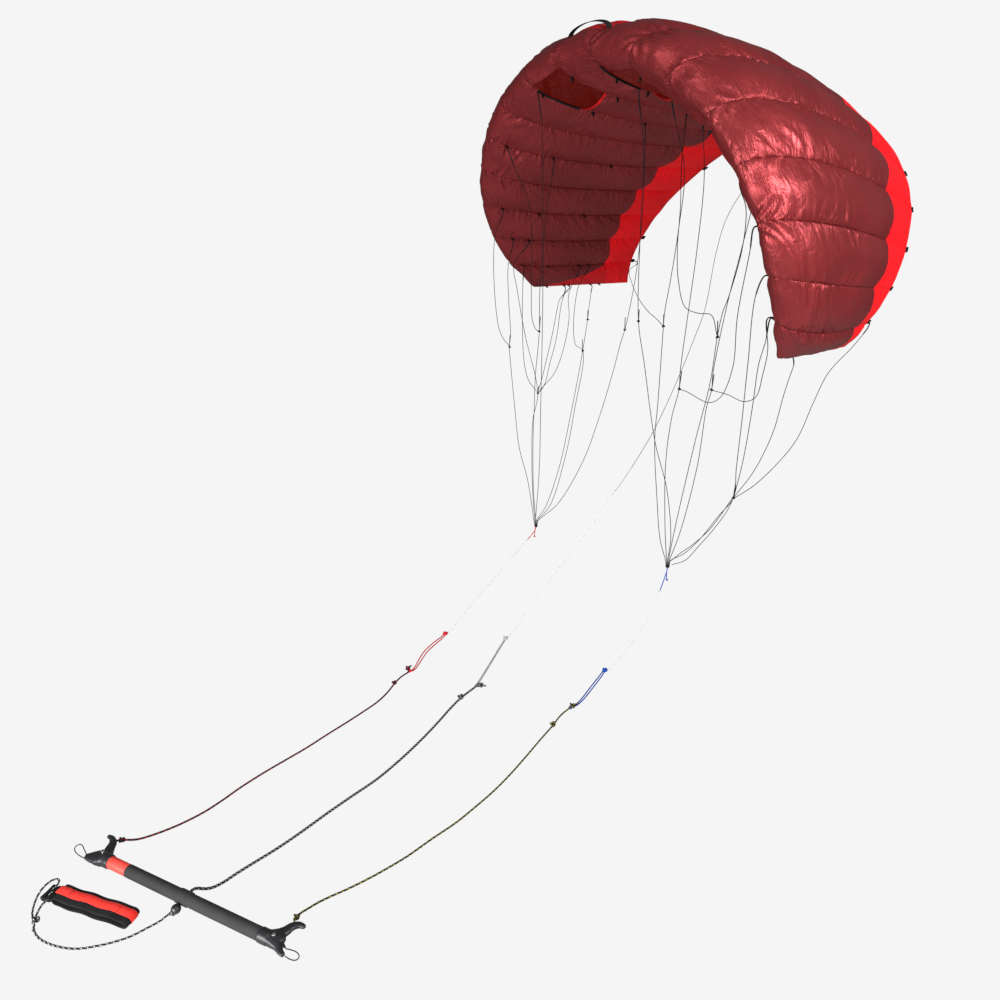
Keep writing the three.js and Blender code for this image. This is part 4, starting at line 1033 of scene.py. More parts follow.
# Leash from the ball stopper to the slider
LEASH_ROUTE = [
    (0.2666, -0.041, -0.0078), (0.262, -0.052, -0.011), (0.255, -0.066), (0.241, -0.095), (0.224, -0.126),
    (0.2, -0.153), (0.172, -0.177), (0.14, -0.199), (0.105, -0.212), (0.066, -0.219), (0.03, -0.219),
    (0.002, -0.211), (-0.016, -0.199), (-0.027, -0.186, -0.012), (-0.034, -0.172, -0.008),
    (-0.038, -0.16, -0.005), (-0.038, -0.1484, -0.0042),
]
leash_path = on_bar(smooth_route(lying(LEASH_ROUTE, FLOOR + LEASH / 2 - BAR_START[2]), CORD_STEP))
leash_loop = on_bar(smooth_route([
    (-0.018, -0.196, -0.011), (-0.034, -0.189, -0.0095), (-0.052, -0.174, -0.0085), (-0.064, -0.158, -0.0048),
    (-0.0685, -0.143, 0.003), (-0.07, -0.126, 0.0078), (-0.07, -0.11, 0.0076), (-0.0655, -0.1, 0.0068),
    (-0.054, -0.0985, 0.007), (-0.0455, -0.108, 0.0078), (-0.041, -0.125, 0.0074), (-0.0385, -0.142, 0.001),
], 0.005))
leash_tail = on_bar(smooth_route([(-0.012, -0.199, -0.008), (-0.004, -0.206, -0.01),
                                  (0.002, -0.214, -0.0125)], 0.004))
leash_knots = together([
    knot(on_bar((-0.017, -0.193, -0.008)), 0.005, 0.021, 0.9, 0.3),
    knot(on_bar((0.2705, -0.0395, -0.008)), 0.005, 0.018, 0.2, 0.5),
    tube(leash_tail, 0.0023),
    tube(leash_loop, LEASH / 2, 12),
])
tied = piece("leash_knots", leash_knots, "leash_rope")
add_cord("leash_cord", leash_path, LEASH / 2, "leash_rope", "leash", 12)

# Elastic loops on the end fittings
ELASTICS = {
    "elastic_left": [
        (-0.0655, -0.0195, -0.001), (-0.076, -0.02, 0), (-0.096, -0.018, 0.001), (-0.11, -0.013, 0.001),
        (-0.117, -0.007, 0.001), (-0.1195, -0.0005, 0.001), (-0.117, 0.005, 0.001), (-0.111, 0.0075, 0.001),
        (-0.103, 0.0055, 0.001), (-0.087, -0.0015, 0.001), (-0.072, -0.0083, 0), (-0.0675, -0.0115, 0),
    ],
    "elastic_right": [
        (0.5912, -0.0046, 0), (0.601, -0.0025, 0), (0.616, -0.001, 0), (0.627, -0.0035, 0),
        (0.633, -0.0095, 0), (0.6315, -0.017, 0), (0.623, -0.021, 0), (0.611, -0.0215, 0),
        (0.6025, -0.0205, 0),
    ],
}
for name, route in ELASTICS.items():
    path = on_bar(smooth_route(route, ELASTIC_STEP))
    add_cord(f"{name}_cord", path, ELASTIC / 2, "dark_cord", name)


# Canopy cloth. Wrinkles have a depth and a pitch along the rib seam; they start and end by the start and
# the reach away from the seam, and change within the run. Pairs are for the upper and the lower side.
GATHER_DEPTH = 0.0052
GATHER_PITCH = 0.019
GATHER_RUN = 0.05
GATHER_START = 0.005
GATHER_REACH = 0.018
FOLD_DEPTH = 0.0075
FOLD_PITCH = 0.04
FOLD_RUN = 0.11
FOLD_START = 0.012
FOLD_REACH = 0.03
FOLD_CHANGE = 0.07
BILLOW_DEPTH = 0.0045
BILLOW_PITCH = 0.12
NOSE_CHORD = (0.62, 0.3)
EVERYWHERE = (0.42, 0.3)
MORE_BY_NOSE = (0.75, 0.6)
SEAM_CREASES = 0.03
# Where the tip cells turn red: shares of a cell in from the tip, then the chord shares there
TIP_RED_BELOW = ([0, 0.25, 0.45, 0.65, 0.85, 1], [0.09, 0.26, 0.4, 0.56, 0.67, 0.75])
TIP_RED_ABOVE = ([0, 0.06, 0.2, 0.4, 1], [0.3, 0.56, 0.67, 0.71, 0.72])
RED_TOP_CURVE = 0.035
ACROSS_POINTS = 29
ALONG_POINTS = 176
TO_MOUTH_POINTS = 10
MOUTH_POINTS = 40
HEM_POINTS = 4
MOUTH_WALL = 0.0012


def lattice_noise(x, y, seed):
    """Smooth random surface: random heights on a whole-number lattice, blended by 3a^2 - 2a^3."""
    heights = np.random.default_rng(seed).uniform(-1, 1, (64, 64))
    x, y = np.broadcast_arrays(x, y)
    ix, iy = np.floor(x).astype(int), np.floor(y).astype(int)
    fx, fy = x - ix, y - iy
    fx, fy = fx * fx * (3 - 2 * fx), fy * fy * (3 - 2 * fy)
    a, b = heights[ix % 64, iy % 64], heights[(ix + 1) % 64, iy % 64]
    c, d = heights[ix % 64, (iy + 1) % 64], heights[(ix + 1) % 64, (iy + 1) % 64]
    return (a * (1 - fx) + b * fx) * (1 - fy) + (c * (1 - fx) + d * fx) * fy


def seam(i, side):
    """Chord share of the colour seam, which lies a little further back in the middle of each cell."""
    return np.where(side > 0, SEAM_UPPER, SEAM_LOWER) + SEAM_SCALLOP * np.abs(np.sin(math.pi * i))


def rib_distance(i):
    """Metres to the nearest rib seam."""
    return np.abs(i - np.round(i)) * cell_width(i)


def cloth_place(i, w):
    """Flat cloth coordinates in metres: across the span from the left tip, and along the chord from the
    nose, negative on the upper side. The chord share t is w squared."""
    return np.stack(np.broadcast_arrays(np.asarray(i) * CELL_WIDTH, w * (np.abs(w) + 0.2) * chord_at(i)), -1)


def wrinkles(i, w):
    """How far the cloth stands off its smooth form: sharp gathers that run out from the rib seams, longer
    folds that reach further in, and slow billows in the middle of a cell, all strongest round the nose."""
    away = rib_distance(i)
    rib = np.round(i)
    along = cloth_place(i, w)[..., 1]
    t = w * w
    near_nose = np.clip(1.2 - t / np.where(w < 0, *NOSE_CHORD), 0, 1)
    strength = np.where(w < 0, *EVERYWHERE) + np.where(w < 0, *MORE_BY_NOSE) * near_nose**1.2
    lean = 0.9 * np.sin(rib * 2.4 + along * 5) + 0.8 * np.sin(along * 17 + rib)
    slant = along + lean * away
    ridges = lattice_noise(slant / GATHER_PITCH + rib * 3.1, away / GATHER_RUN + rib * 5.3, 11)
    ridges = 1 - 2.4 * np.abs(ridges)
    gather = GATHER_DEPTH * ridges * (1 - np.exp(-away / GATHER_START)) * np.exp(-away / GATHER_REACH)
    creases = lattice_noise(slant / FOLD_PITCH + rib * 7.7, away / FOLD_RUN + rib * 2.9, 23)
    creases = 1 - 3.0 * np.abs(creases)
    reach = FOLD_REACH * (1 + 0.6 * lattice_noise(along / FOLD_CHANGE, rib * 3.7, 5))
    fold = FOLD_DEPTH * creases * (1 - np.exp(-away / FOLD_START)) * np.exp(-away / reach)
    middle = np.abs(np.sin(math.pi * i))
    billow = BILLOW_DEPTH * lattice_noise(along / BILLOW_PITCH + np.floor(i) * 4.3, i * 2.3, 31) * middle
    return strength * (gather + fold) + billow * (0.4 + 0.6 * near_nose)


def cloth_points(i, w):
    """Skin points with their wrinkles, moved along the smooth skin's own normal."""
    def smooth(i, w):
        return skin(i, w * w, np.where(w < 0, 1, -1))

    step_i = np.where(i - np.floor(i) < 0.5, 1e-3, -1e-3)
    step_w = 1e-3
    across = (smooth(i + step_i, w) - smooth(i, w)) / step_i[..., None]
    along = smooth(i, w + step_w / 2) - smooth(i, w - step_w / 2)
    normal = np.cross(across, along)
    normal = -normal / np.linalg.norm(normal, axis=-1, keepdims=True)
    return smooth(i, w) + normal * wrinkles(i, w)[..., None]


def tip_red(i, w):
    """Metres behind the slanted edge where the tip cells turn red, on each side of the cloth."""
    from_tip = np.minimum(i, CELLS - i)
    below, above = (np.interp(from_tip, *edge) for edge in (TIP_RED_BELOW, TIP_RED_ABOVE))
    return (w * w - np.where(w < 0, above, below)) * chord_at(i)


def top_red(i, w):
    """Metres inside the red panel on top of the middle cell, whose front edge curves back at its right
    rib."""
    t = w * w
    front = RED_TOP_CHORD[0] + RED_TOP_CURVE * np.clip(i - RED_TOP_CELL, 0, 1) ** 8
    inside = np.minimum(t - front, RED_TOP_CHORD[1] - t) * CHORD
    return np.where(w < 0, inside, -1.0)


def cloth_attributes(i, w, red_side):
    """What the nylon reads at each point: metres to the nearest rib seam, how gathered the cloth is there,
    which dies away from the seam and from the nose, and metres inside the other colour."""
    away = rib_distance(i)
    gather = np.exp(-away / SEAM_CREASES) * (0.35 + 0.65 * np.clip(1.2 - w * w / 0.5, 0, 1))
    return {"rib_distance": away.ravel(), "gather": gather.ravel(), "red_side": red_side.ravel()}


def across_cell(cell):
    """Rib indices across a cell, closer together by its ribs, as half a cosine wave."""
    rim = RIB_GAP / 2 / cell_width(cell + 0.5)
    return cell + rim + (1 - 2 * rim) * (1 - np.cos(np.linspace(0, math.pi, ACROSS_POINTS))) / 2


def even_chord(count, end):
    """Values of w from 0 to the given chord share: even along the chord, and denser round the nose."""
    x = np.linspace(0, 1, count)
    return np.sqrt(1.06 * x * x / (x + 0.06))[None] * np.sqrt(end)[:, None]


def front_cell(cell):
    """Front part of a cell, from the upper colour seam round the nose to the lower one: a cloth point for
    each rib index and each w, the signed root of the chord share. An intake's mouth is cut out of it."""
    i = across_cell(cell)
    clear = SEAM_GAP / 2 / chord_at(i)
    upper = -even_chord(ALONG_POINTS, seam(i, 1) - clear)
    if cell in INTAKES:
        (start_near, start_far), (end_near, end_far) = INTAKES[cell]
        f = i - cell
        start = start_near + (start_far - start_near) * f
        end = end_near + (end_far - end_near) * f
        marks = [np.zeros_like(i), start, end, end + HEM / chord_at(i), seam(i, -1) - clear]
        counts = [TO_MOUTH_POINTS, MOUTH_POINTS, HEM_POINTS]
        counts.append(ALONG_POINTS - sum(counts))
        lower = np.concatenate(
            [np.sqrt(a[:, None] + (b - a)[:, None] * np.linspace(0, 1, n + 1)[None, :-1])
             for a, b, n in zip(marks[:-1], marks[1:], counts)], 1)
        lower = np.concatenate([lower[:, :-1], np.sqrt(marks[-1])[:, None]], 1)
    else:
        lower = even_chord(ALONG_POINTS, seam(i, -1) - clear)
    w = np.concatenate([upper[:, ::-1], lower], 1)
    i = np.repeat(i[:, None], w.shape[1], 1)
    red_side = np.full(i.shape, -1.0)
    if cell in (0, CELLS - 1):
        red_side = tip_red(i, w)
    if cell == RED_TOP_CELL:
        red_side = np.maximum(red_side, top_red(i, w))
    if cell in INTAKES:
        past_mouth = (w * w - np.array(end)[:, None]) * chord_at(i)
        red_side = np.maximum(red_side, np.where(w > 0, HEM - np.abs(past_mouth - HEM / 2) - HEM / 2, -1.0))
    grid = cloth_place(i, w)
    grid = np.concatenate([grid, grid[:, :1]], 1)
    shape = sweep(cloth_points(i, w), grid)
    name = f"cell_skin_{cell + 1}"
    attributes = cloth_attributes(i, w, red_side)
    if cell not in INTAKES:
        obj = piece(name, shape, "burgundy_nylon", [f"front_cell_{cell + 1}"], attributes=attributes)
        return obj
    points, quads, uv = shape
    columns = 2 * ALONG_POINTS
    row, column = quads // columns, quads % columns
    first = ALONG_POINTS + TO_MOUTH_POINTS
    last = first + MOUTH_POINTS
    inside = (column >= first) & (column <= last) & (row >= 1) & (row <= ACROSS_POINTS - 2)
    kept = ~inside.all(1)
    obj = piece(name, (points, quads[kept], uv[kept]), "burgundy_nylon", [f"front_cell_{cell + 1}"],
                attributes=attributes, lining="inner_nylon")
    wall = obj.modifiers.new("wall", "SOLIDIFY")
    wall.thickness = MOUTH_WALL
    wall.offset = -1
    wall.material_offset = 1
    wall.use_even_offset = False
    return obj


def rear_panels():
    """Red cloth of every cell behind the colour seam, as one closed strip from tip to tip."""
    across = np.concatenate([np.linspace(cell, cell + 1, 17)[:-1] for cell in range(CELLS)] + [[CELLS]])
    rows = []
    for side in (1, -1):
        start = np.sqrt(seam(across, side) + SEAM_GAP / 2 / chord_at(across))
        w = start[:, None] + (1 - start)[:, None] * np.linspace(0, 1, 30)[None]
        rows.append(-w if side > 0 else w[:, ::-1])
    w = np.concatenate(rows, 1)
    i = np.repeat(across[:, None], w.shape[1], 1)
    grid = cloth_place(i, w)
    grid = np.concatenate([grid, grid[:, :1]], 1)
    shape = sweep(cloth_points(np.clip(i, 1e-4, CELLS - 1e-4), w), grid)
    obj = piece("tail_cloth", shape, "red_nylon", ["rear_panels"],
                attributes=cloth_attributes(i, w, np.full(i.shape, -1.0)))
    return obj


for cell in range(CELLS):
    front_cell(cell)
rear_panels()


# Hang loop, tape and tabs
BINDING_CHORD = (0.04, 0.18)
BINDING_WIDTH = 0.0096
BINDING_THICKNESS = 0.0022
BINDING_CLEAR = 0.0003
TAB_HEIGHT = (0.0003, 0.016)
TAB_WIDTH = (0.016, 0.0056)
TAB_THICKNESS = 0.0028
PATCH_WIDTH = 0.019
PATCH_LENGTH = 0.023
PATCH_OUT = 0.017


def hang_loop():
    """Webbing arch over the middle cell: a half ellipse from rib to rib, each end just clear of the seam."""
    a = np.linspace(0, math.pi, 41)
    inward = np.array([0, 0, LOOP_THICKNESS, LOOP_THICKNESS])
    across = np.array([-1, 1, 1, -1]) * (LOOP_WIDTH / 2 + LOOP_MARGIN)
    near, far = (skin(np.full(4, rib), LOOP_CHORD + across / CHORD, 1, LOOP_CLEAR) for rib in loop_ribs)
    reach = (1 - np.cos(a)) / 2
    loops = near[None] * (1 - reach[:, None, None]) + far[None] * reach[:, None, None]
    half_span = (loop_feet[1] - loop_feet[0])[0] / 2 - inward
    loops[..., 0] = -half_span[None] * np.cos(a)[:, None]
    loops[..., 2] += (LOOP_RISE - inward[None]) * np.sin(a)[:, None]
    length = np.linspace(0, 0.19, len(a))
    v = np.array([0, LOOP_WIDTH, LOOP_WIDTH + 0.002, 2 * LOOP_WIDTH + 0.002, 2 * LOOP_WIDTH + 0.004])
    uv = np.stack(np.meshgrid(length, v, indexing="ij"), -1)
    piece("hang_webbing", sweep(loops, uv), "black_webbing", ["hang_loop"], sharp=40)


def binding(rib, name, node):
    """Folded tape along the left edge of an intake: a squarish rib on the seam between the two cells."""
    t = np.linspace(*BINDING_CHORD, 60)[:, None]
    a = round_angles(16)[None]
    reach = BINDING_WIDTH / 2 / CELL_WIDTH * blunt(np.cos(a), 0.6)
    rise = BINDING_CLEAR + BINDING_THICKNESS / 2 * (1 + blunt(np.sin(a), 0.6))
    piece(name, sweep(skin(rib + reach, t, -1, rise)), "black_webbing", [node])


def tab_shape(rib, t):
    """Small folded tab on a lower seam: a wedge of squarish sections, widest at the cloth and narrow at the
    line."""
    out, width = (np.linspace(*ends, 6)[:, None] for ends in (TAB_HEIGHT, TAB_WIDTH))
    a = round_angles(12)[None]
    along = width / 2 * blunt(np.cos(a), 0.7)
    i = np.clip(rib + TAB_THICKNESS / 2 * np.sin(a) / CELL_WIDTH, 0, CELLS)
    return sweep(skin(i, t + along / chord_at(rib), -1, out))


def tail_patch(rib):
    """Square of black webbing folded over the trailing edge at a rib, standing a little out of it: squarish
    sections from side to side, each on the upper skin and back along the lower one."""
    a = round_angles(16)[None]
    i = np.linspace(-PATCH_WIDTH / 2, PATCH_WIDTH / 2, 7)[:, None] / CELL_WIDTH + rib
    i = np.clip(i, 0.001, CELLS - 0.001)
    along = -PATCH_LENGTH / 2 * (1 - blunt(np.cos(a), 0.5))
    t = 1 + (PATCH_OUT + along) / chord_at(rib)
    return sweep(skin(i, t, np.where(np.sin(a) >= 0, 1, -1), 0.0008 * np.abs(np.sin(a)) ** 0.3))


hang_loop()
binding(7, "binding_left", "intake_binding_left")
binding(9, "binding_right", "intake_binding_right")

# Rib, then the chord shares of its tabs
TABS = {
    0: (0.122, 0.3, 0.348, 0.58, 0.672), 1: (0.07, 0.247, 0.5, 0.58), 2: (0.09, 0.18),
    3: (0.072, 0.249, 0.504), 5: (0.058, 0.236, 0.49), 7: (0.055, 0.228, 0.43, 0.72), 8: (0.06, 0.215, 0.48),
    9: (0.1, 0.21, 0.46), 10: (0.058, 0.18, 0.3), 12: (0.06, 0.3, 0.5), 13: (0.09,), 14: (0.056, 0.25, 0.5),
    15: (0.04,), 16: (0.04, 0.065, 0.25, 0.5), 17: (0.078, 0.3, 0.39, 0.828),
}
TAIL_RIBS = (1, 2, 5, 8.5, 12, 13, 14, 15, 16)
line_tabs = [tab_shape(rib, t) for rib, shares in TABS.items() for t in shares]
piece("line_tabs", together(line_tabs), "black_webbing")
piece("tail_tabs", together([tail_patch(rib) for rib in TAIL_RIBS]), "black_webbing")

# Knots of the bridle: the place of each, and how long the stiff sleeve above it is
CASCADE = {
    (-0.705, 0.32, -0.955): 0.05, (-0.53, 0.34, -0.87): 0.06, (-0.645, 0.715, -0.865): 0.04,
    (-0.615, 0.665, -0.995): 0.05, (-0.33, 0.63, -0.865): 0.05, (0.225, 0.335, -0.97): 0.06,
    (0.355, 0.34, -0.95): 0.05, (0.095, 0.38, -0.78): 0.04, (0.375, 0.315, -0.775): 0.05,
    (0.005, 0.35, -0.77): 0.04, (-0.605, 0.4, -1.15): 0.03, (0.465, 0.37, -1.3): 0.05,
}


def cascade_knot(middle, sleeve, turn):
    """Knot with the short stiff sleeve of doubled cord above it."""
    place = canopy_point(*middle)
    top = place + np.array([0.004 * math.cos(turn), 0.004 * math.sin(turn), sleeve])
    return together([knot(place, 0.0028, 0.013, turn, 0.4), tube(np.linspace(place, top, 7), 0.0016)])


cascade = together([cascade_knot(p, sleeve, k * 1.3) for k, (p, sleeve) in enumerate(CASCADE.items())])
piece("cascade_knots", cascade, "dark_cord")


def gathering_knot(name, middle, node):
    """Two overhand knots one on top of the other, where the bridle's lines are tied together."""
    place = canopy_point(*middle)
    shape = together([knot(place - up(0.0022), 0.0042, 0.0165, KNOT_ROW_TURN, 0.25),
                      knot(place + up(0.002), 0.004, 0.0155, KNOT_ROW_TURN + 1, -0.25)])
    piece(name, shape, "dark_cord", [node])


gathering_knot("gathering_left", KNOT_LEFT, "knot_left")
gathering_knot("gathering_right", KNOT_RIGHT, "knot_right")


# Control bar, in the bar's own frame
ROUND_SIDES = 64
HORN_ROWS = 26
NEAR_AXIS = 0.0001
BLEND_VOXEL = 0.0012
BLEND_ROUNDS = 18


def turned_on_bar(profile):
    """Solid turned about the bar's axis."""
    return sweep(on_bar(np.stack(lathed(profile, ROUND_SIDES), -1)))


def horn(centres, widths, heights):
    """Moulded prong: superellipse sections along a curved centreline in the bar's plane, smaller to its
    tip."""
    p = np.array([(x, y, 0.0) for x, y in centres])
    path = smooth_route(p, route_length(p) / HORN_ROWS)
    gone = np.linspace(0, 1, len(path))
    stations = np.linspace(0, 1, len(centres))
    wide, high = np.interp(gone, stations, widths) / 2, np.interp(gone, stations, heights) / 2
    ends = np.minimum(1, np.sqrt(1 - np.clip((gone - 0.93) / 0.07, 0, 1) ** 2) + 0.12)
    ahead = np.gradient(path, axis=0)
    side = np.stack([-ahead[:, 1], ahead[:, 0], 0 * ahead[:, 0]], -1)
    side = side / np.linalg.norm(side, axis=1, keepdims=True)
    a = round_angles(24)[None, :, None]
    loops = path[:, None] + side[:, None] * (wide * ends)[:, None, None] * blunt(np.cos(a), 0.75)
    loops = loops + up(1.0) * (high * ends)[:, None, None] * blunt(np.sin(a), 0.75)
    return sweep(on_bar(loops))


def blended(name, shapes, node):
    """Overlapping closed shapes of black plastic made one by a voxel remesh and smoothed, as a moulding
    is."""
    obj = piece(name, together(shapes), "moulded_black", [node])
    merge = obj.modifiers.new("merge", "REMESH")
    merge.mode = "VOXEL"
    merge.voxel_size = BLEND_VOXEL
    merge.use_smooth_shade = True
    soften = obj.modifiers.new("soften", "SMOOTH")
    soften.factor = 0.5
    soften.iterations = BLEND_ROUNDS


grip_end = BAR_LENGTH - BAR_END
grip_profile = rounded([
    (SLEEVE[1] + PART_GAP, NEAR_AXIS), (SLEEVE[1] + PART_GAP, GRIP_RADIUS), (RING[0] - 0.003, GRIP_RADIUS),
    (RING[0], RING_RADIUS), (RING[1], RING_RADIUS), (RING[1] + 0.003, GRIP_RADIUS), (grip_end, GRIP_RADIUS),
    (grip_end, NEAR_AXIS)], 0.0016)
piece("foam_grip", turned_on_bar(grip_profile), "grip_foam", ["grip"])
sleeve_profile = rounded([(SLEEVE[0], NEAR_AXIS), (SLEEVE[0], SLEEVE_RADIUS), (SLEEVE[1], SLEEVE_RADIUS),
                          (SLEEVE[1], NEAR_AXIS)], 0.0008)
piece("sleeve_red", turned_on_bar(sleeve_profile), "red_plastic", ["red_sleeve"])

left_end, right_end = SLEEVE[0] - PART_GAP, grip_end + PART_GAP
left_collar = rounded([(left_end - COLLAR_LENGTH, NEAR_AXIS), (left_end - COLLAR_LENGTH, 0.012),
                       (left_end - COLLAR_LENGTH + 0.008, COLLAR_RADIUS), (left_end, COLLAR_RADIUS),
                       (left_end, NEAR_AXIS)], 0.002)
right_collar = rounded([(right_end, NEAR_AXIS), (right_end, COLLAR_RADIUS),
                        (right_end + COLLAR_LENGTH - 0.008, COLLAR_RADIUS),
                        (right_end + COLLAR_LENGTH, 0.012), (right_end + COLLAR_LENGTH, NEAR_AXIS)], 0.002)
blended("fitting_left", [
    turned_on_bar(left_collar),
    horn([(-0.014, 0.003), (-0.031, 0.033), (-0.0385, 0.047), (-0.054, 0.0575), (-0.0735, 0.059)],
         (0.04, 0.027, 0.022, 0.016, 0.009), (0.028, 0.017, 0.014, 0.012, 0.009)),
    horn([(-0.012, -0.001), (-0.032, -0.003), (-0.049, -0.009), (-0.068, -0.0158)],
         (0.038, 0.043, 0.031, 0.013), (0.03, 0.024, 0.016, 0.01)),
], "end_fitting_left")
blended("fitting_right", [
    turned_on_bar(right_collar),
    horn([(0.541, 0.003), (0.5605, 0.03), (0.567, 0.047), (0.579, 0.0575), (0.5985, 0.0595)],
         (0.037, 0.028, 0.023, 0.017, 0.01), (0.028, 0.017, 0.014, 0.012, 0.009)),
    horn([(0.546, 0), (0.5695, -0.0075), (0.583, -0.0155), (0.5995, -0.0215)],
         (0.034, 0.025, 0.016, 0.01), (0.028, 0.02, 0.012, 0.009)),
    horn([(0.54, 0.003), (0.5605, 0.0075), (0.5755, 0.0075)], (0.034, 0.034, 0.02), (0.03, 0.024, 0.018)),
    horn([(0.57, 0.003), (0.581, 0.0005), (0.5908, -0.0042)], (0.012, 0.006, 0.004), (0.012, 0.006, 0.004)),
], "end_fitting_right")


def rivet(x, y, z):
    """Domed rivet head on top of a fitting."""
    profile = rounded([(z - 0.002, NEAR_AXIS), (z - 0.002, 0.005), (z + 0.0006, 0.005),
                       (z + 0.0018, NEAR_AXIS)], 0.0006)
    height, across, along = lathed(profile, 24)
    return sweep(on_bar(np.stack([x + across, y + along, height], -1)))


piece("rivets", together([rivet(-0.0265, 0.009, 0.0142), rivet(0.5505, 0.0045, 0.0156)]), "rivet_steel")

# Stopper ball, wrist cuff, its webbing and its slider
drop = FLOOR - BAR_START[2] + BALL_RADIUS
ball_place = np.array([0.272, -math.sqrt((RING_RADIUS + BALL_RADIUS + PART_GAP) ** 2 - drop**2), drop])
from_pole = np.linspace(0.09, math.pi - 0.09, 33)
height, across, along = lathed(np.stack([-np.cos(from_pole), np.sin(from_pole)], -1) * BALL_RADIUS, 48)
ball_loops = np.stack([across, height, along], -1)
piece("ball_moulded", sweep(on_bar(ball_loops + ball_place)), "moulded_black", ["stopper_ball"])


def stadium(count, reach, radius):
    """Points round a flattened loop, evenly spaced, as (x, z), and how far round it each one is: from the
    middle of the lower run, half a turn up the right end, back along the upper run and down the left end."""
    bend = math.pi * radius
    total = 4 * reach + 2 * bend
    d = np.arange(count) / count * total
    stretches = [d < reach, d < reach + bend, d < 3 * reach + bend, d < 3 * reach + 2 * bend]
    right = (d - reach) / radius - math.pi / 2
    left = (d - 3 * reach - bend) / radius + math.pi / 2
    x = np.select(stretches, [d, reach + radius * np.cos(right), 2 * reach + bend - d,
                              radius * np.cos(left) - reach], d - total)
    z = np.select(stretches, [-radius, radius * np.sin(right), radius, radius * np.sin(left)], -radius)
    return np.stack([x, z], -1), d


def cuff():
    """Padded band: a rounded section carried round a flattened loop, a little puffed between its edges."""
    reach = CUFF_LENGTH / 2 - CUFF_HEIGHT / 2
    middle_line, d = stadium(220, reach, CUFF_HEIGHT / 2 - CUFF_PAD / 2)
    ahead = np.roll(middle_line, -1, 0) - np.roll(middle_line, 1, 0)
    ahead = ahead / np.linalg.norm(ahead, axis=1, keepdims=True)
    out = np.stack([ahead[:, 1], -ahead[:, 0]], -1)
    a = round_angles(36)[None]
    y = CUFF_WIDTH / 2 * blunt(np.cos(a), 0.45)
    puckers = 0.0003 * np.sin(d[:, None] / 0.011 + 2.0) * np.abs(np.cos(a)) ** 3
    lift = CUFF_PAD / 2 * blunt(np.sin(a), 0.45) + puckers * np.sign(np.sin(a))
    loops = np.stack([middle_line[:, :1] + out[:, :1] * lift, np.broadcast_to(y, lift.shape),
                      middle_line[:, 1:] + out[:, 1:] * lift], -1)
    v = np.arange(37) / 36 * 2 * (CUFF_WIDTH + CUFF_PAD)
    uv = np.stack(np.meshgrid(np.append(d, d[-1] + d[1]), v, indexing="ij"), -1)
    obj = piece("wrist_cuff", sweep(on_strap(loops), uv, ring=True), "brushed_knit", ["cuff"], sharp=80)


def strap_webbing():
    """Red webbing along the top of the cuff, round its right end and a little way back underneath."""
    inner = CUFF_HEIGHT / 2 + PART_GAP
    reach = CUFF_LENGTH / 2 - CUFF_HEIGHT / 2
    middle = inner + WEBBING_THICKNESS / 2
    a = np.linspace(math.pi / 2, -math.pi / 2, 25)
    run = np.linspace(-CUFF_LENGTH / 2 + 0.001, reach, 60)[:-1]
    back = np.linspace(reach, reach - WEBBING_RETURN, 24)[1:]
    x = np.concatenate([run, reach + middle * np.cos(a), back])
    z = np.concatenate([np.full(len(run), middle), middle * np.sin(a), np.full(len(back), -middle)])
    nx = np.concatenate([0 * run, np.cos(a), 0 * back])
    nz = np.concatenate([np.ones(len(run)), np.sin(a), -np.ones(len(back))])
    corner_y = np.array([-1, -0.96, 0.96, 1, 1, 0.96, -0.96, -1]) * WEBBING_WIDTH / 2 + WEBBING_OFFSET
    corner_n = np.array([0.4, 1, 1, 0.4, -0.4, -1, -1, -0.4]) * WEBBING_THICKNESS / 2
    loops = np.stack([x[:, None] + nx[:, None] * corner_n, np.broadcast_to(corner_y, (len(x), 8)),
                      z[:, None] + nz[:, None] * corner_n], -1)
    along = np.concatenate([[0], np.cumsum(np.hypot(np.diff(x), np.diff(z)))])
    v = np.array([0, 0.001, 0.026, 0.027, 0.0275, 0.028, 0.053, 0.0535, 0.054])
    uv = np.stack(np.meshgrid(along, v, indexing="ij"), -1)
    piece("webbing_red", sweep(on_strap(loops), uv), "red_webbing", ["webbing"], sharp=60)


def stitches():
    """Two bars of dark stitching across the webbing, at each end of its top run: short slanted threads in
    double rows."""
    top = CUFF_HEIGHT / 2 + PART_GAP + WEBBING_THICKNESS
    bars = []
    for x in (-0.077, -0.0745, 0.0705, 0.073):
        for y in np.arange(-0.0068, 0.0125, 0.0026):
            thread = [(x, y, top - 0.0003), (x + 0.0001, y + 0.0009, top + 0.0003),
                      (x, y + 0.0018, top - 0.0003)]
            bars.append(tube(on_strap(thread), 0.00045, 6))
    piece("stitching", together(bars), "dark_cord")


def slider():
    """Two rolls of folded webbing, side by side, that the leash goes round: flattened circles that swell a
    little along the roll and round it, and are drawn in at its ends."""
    y = np.linspace(-0.021, 0.021, 24)[:, None]
    a = round_angles(28)[None]
    rolls = []
    for out, z, radius in ((0.0085, 0.0006, 0.0078), (0.0252, -0.0006, 0.0083)):
        swell = radius * (1 - 0.04 * np.cos(y / 0.006)) * (1 + 0.05 * np.cos(3 * a + 0.7))
        reach = swell * np.sqrt(np.clip((0.0215 - np.abs(y)) / 0.0015, 0, 1))
        loops = np.stack([reach * np.cos(a) - CUFF_LENGTH / 2 - out, y - 0.003 + 0 * reach,
                          z + 0.88 * reach * np.sin(a)], -1)
        rolls.append(sweep(on_strap(loops)))
    piece("slider_rolls", together(rolls), "black_webbing", ["slider"])


cuff()
strap_webbing()
stitches()
slider()


# Floor, background and lights
PALE = (0.913, 0.913, 0.913)
FLOOR_HALF = 60
SKY_STRENGTH = 0.12


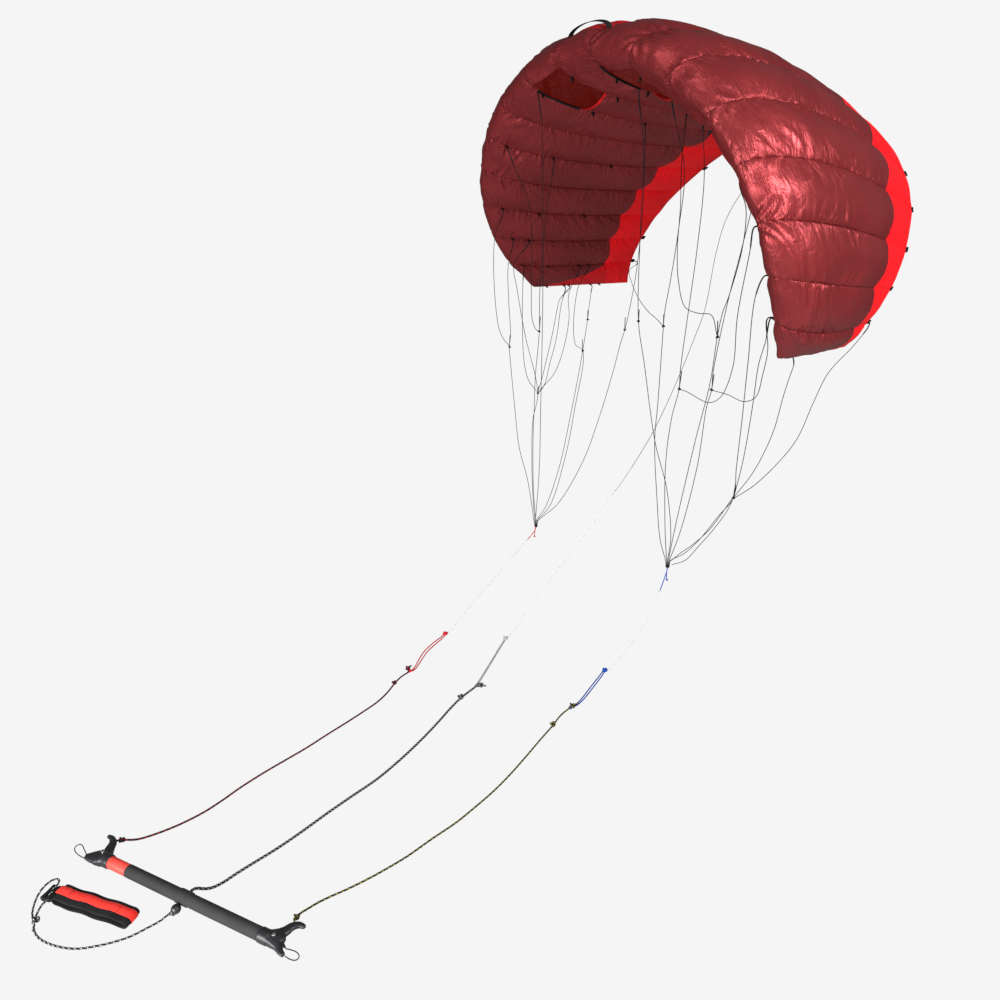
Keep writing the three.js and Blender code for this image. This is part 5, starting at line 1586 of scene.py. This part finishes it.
def seen_pale(g, lit, surface):
    """Shown to the camera as one even pale tone, and as itself to every other ray, so that the floor and the
    background run into each other."""
    to_camera = g.node("LightPath", {}, "Is Camera Ray")
    glow = g.node("Emission", {"Color": PALE, "Strength": 1.0})
    g.feed(surface, g.node("MixShader", {0: to_camera, 1: lit, 2: glow}))


floor_look, floor_shader = new_material("floor", None, 0.7, 0.0, 0.1)
floor_tone = floor_look.noise(floor_look.place(), 1.5, 2.0)
floor_look.feed(floor_shader["Base Color"], floor_look.mix(floor_tone, (0.55, 0.55, 0.55), (0.6, 0.6, 0.6)))
nodes = floor_look.tree.nodes
seen_pale(floor_look, nodes["Principled BSDF"].outputs[0], nodes["Material Output"].inputs["Surface"])

floor_x, floor_y = np.meshgrid([-FLOOR_HALF, 0, FLOOR_HALF], [-FLOOR_HALF, 0, FLOOR_HALF], indexing="ij")
floor_points = np.stack([floor_x, floor_y, np.full_like(floor_x, FLOOR_Z, float)], -1).reshape(-1, 3)
floor_mesh = bpy.data.meshes.new("floor")
floor_mesh.from_pydata(floor_points.tolist(), [], [(0, 3, 4, 1), (1, 4, 5, 2), (3, 6, 7, 4), (4, 7, 8, 5)])
floor_mesh.materials.append(LOOKS["floor"][0])
floor = bpy.data.objects.new("floor", floor_mesh)
bpy.context.collection.objects.link(floor)

world = bpy.data.worlds.new("studio")
bpy.context.scene.world = world
world.use_nodes = True
sky = world.node_tree.nodes["Background"]
sky.inputs["Color"].default_value = (1, 1, 1, 1)
sky.inputs["Strength"].default_value = SKY_STRENGTH
seen_pale(Graph(world.node_tree), sky.outputs[0], world.node_tree.nodes["World Output"].inputs["Surface"])


def soft_box(name, place, aim, size, power):
    """Oblong area light at a place in the canopy's frame, turned towards another."""
    data = bpy.data.lights.new(name, "AREA")
    data.shape = "RECTANGLE"
    data.size, data.size_y = size
    data.energy = power
    obj = bpy.data.objects.new(name, data)
    obj.location = canopy_point(*place)
    away = Vector(place) - Vector(aim)
    obj.rotation_euler = away.to_track_quat("Z", "Y").to_euler()
    bpy.context.collection.objects.link(obj)


# Light, its place, what it is turned to, its size and its power in watts
soft_box("key", (2.8, 0.25, 0.45), (0.3, 0.4, -0.4), (1.3, 1.1), 108)
soft_box("above", (0.7, -1.5, 1.9), (0.2, 0.3, -0.1), (1.3, 0.7), 16)
soft_box("fill", (1.0, -3.2, -1.3), (-0.5, 0.5, -0.4), (2.0, 1.4), 125)
bpy.context.scene.view_settings.view_transform = "Standard"
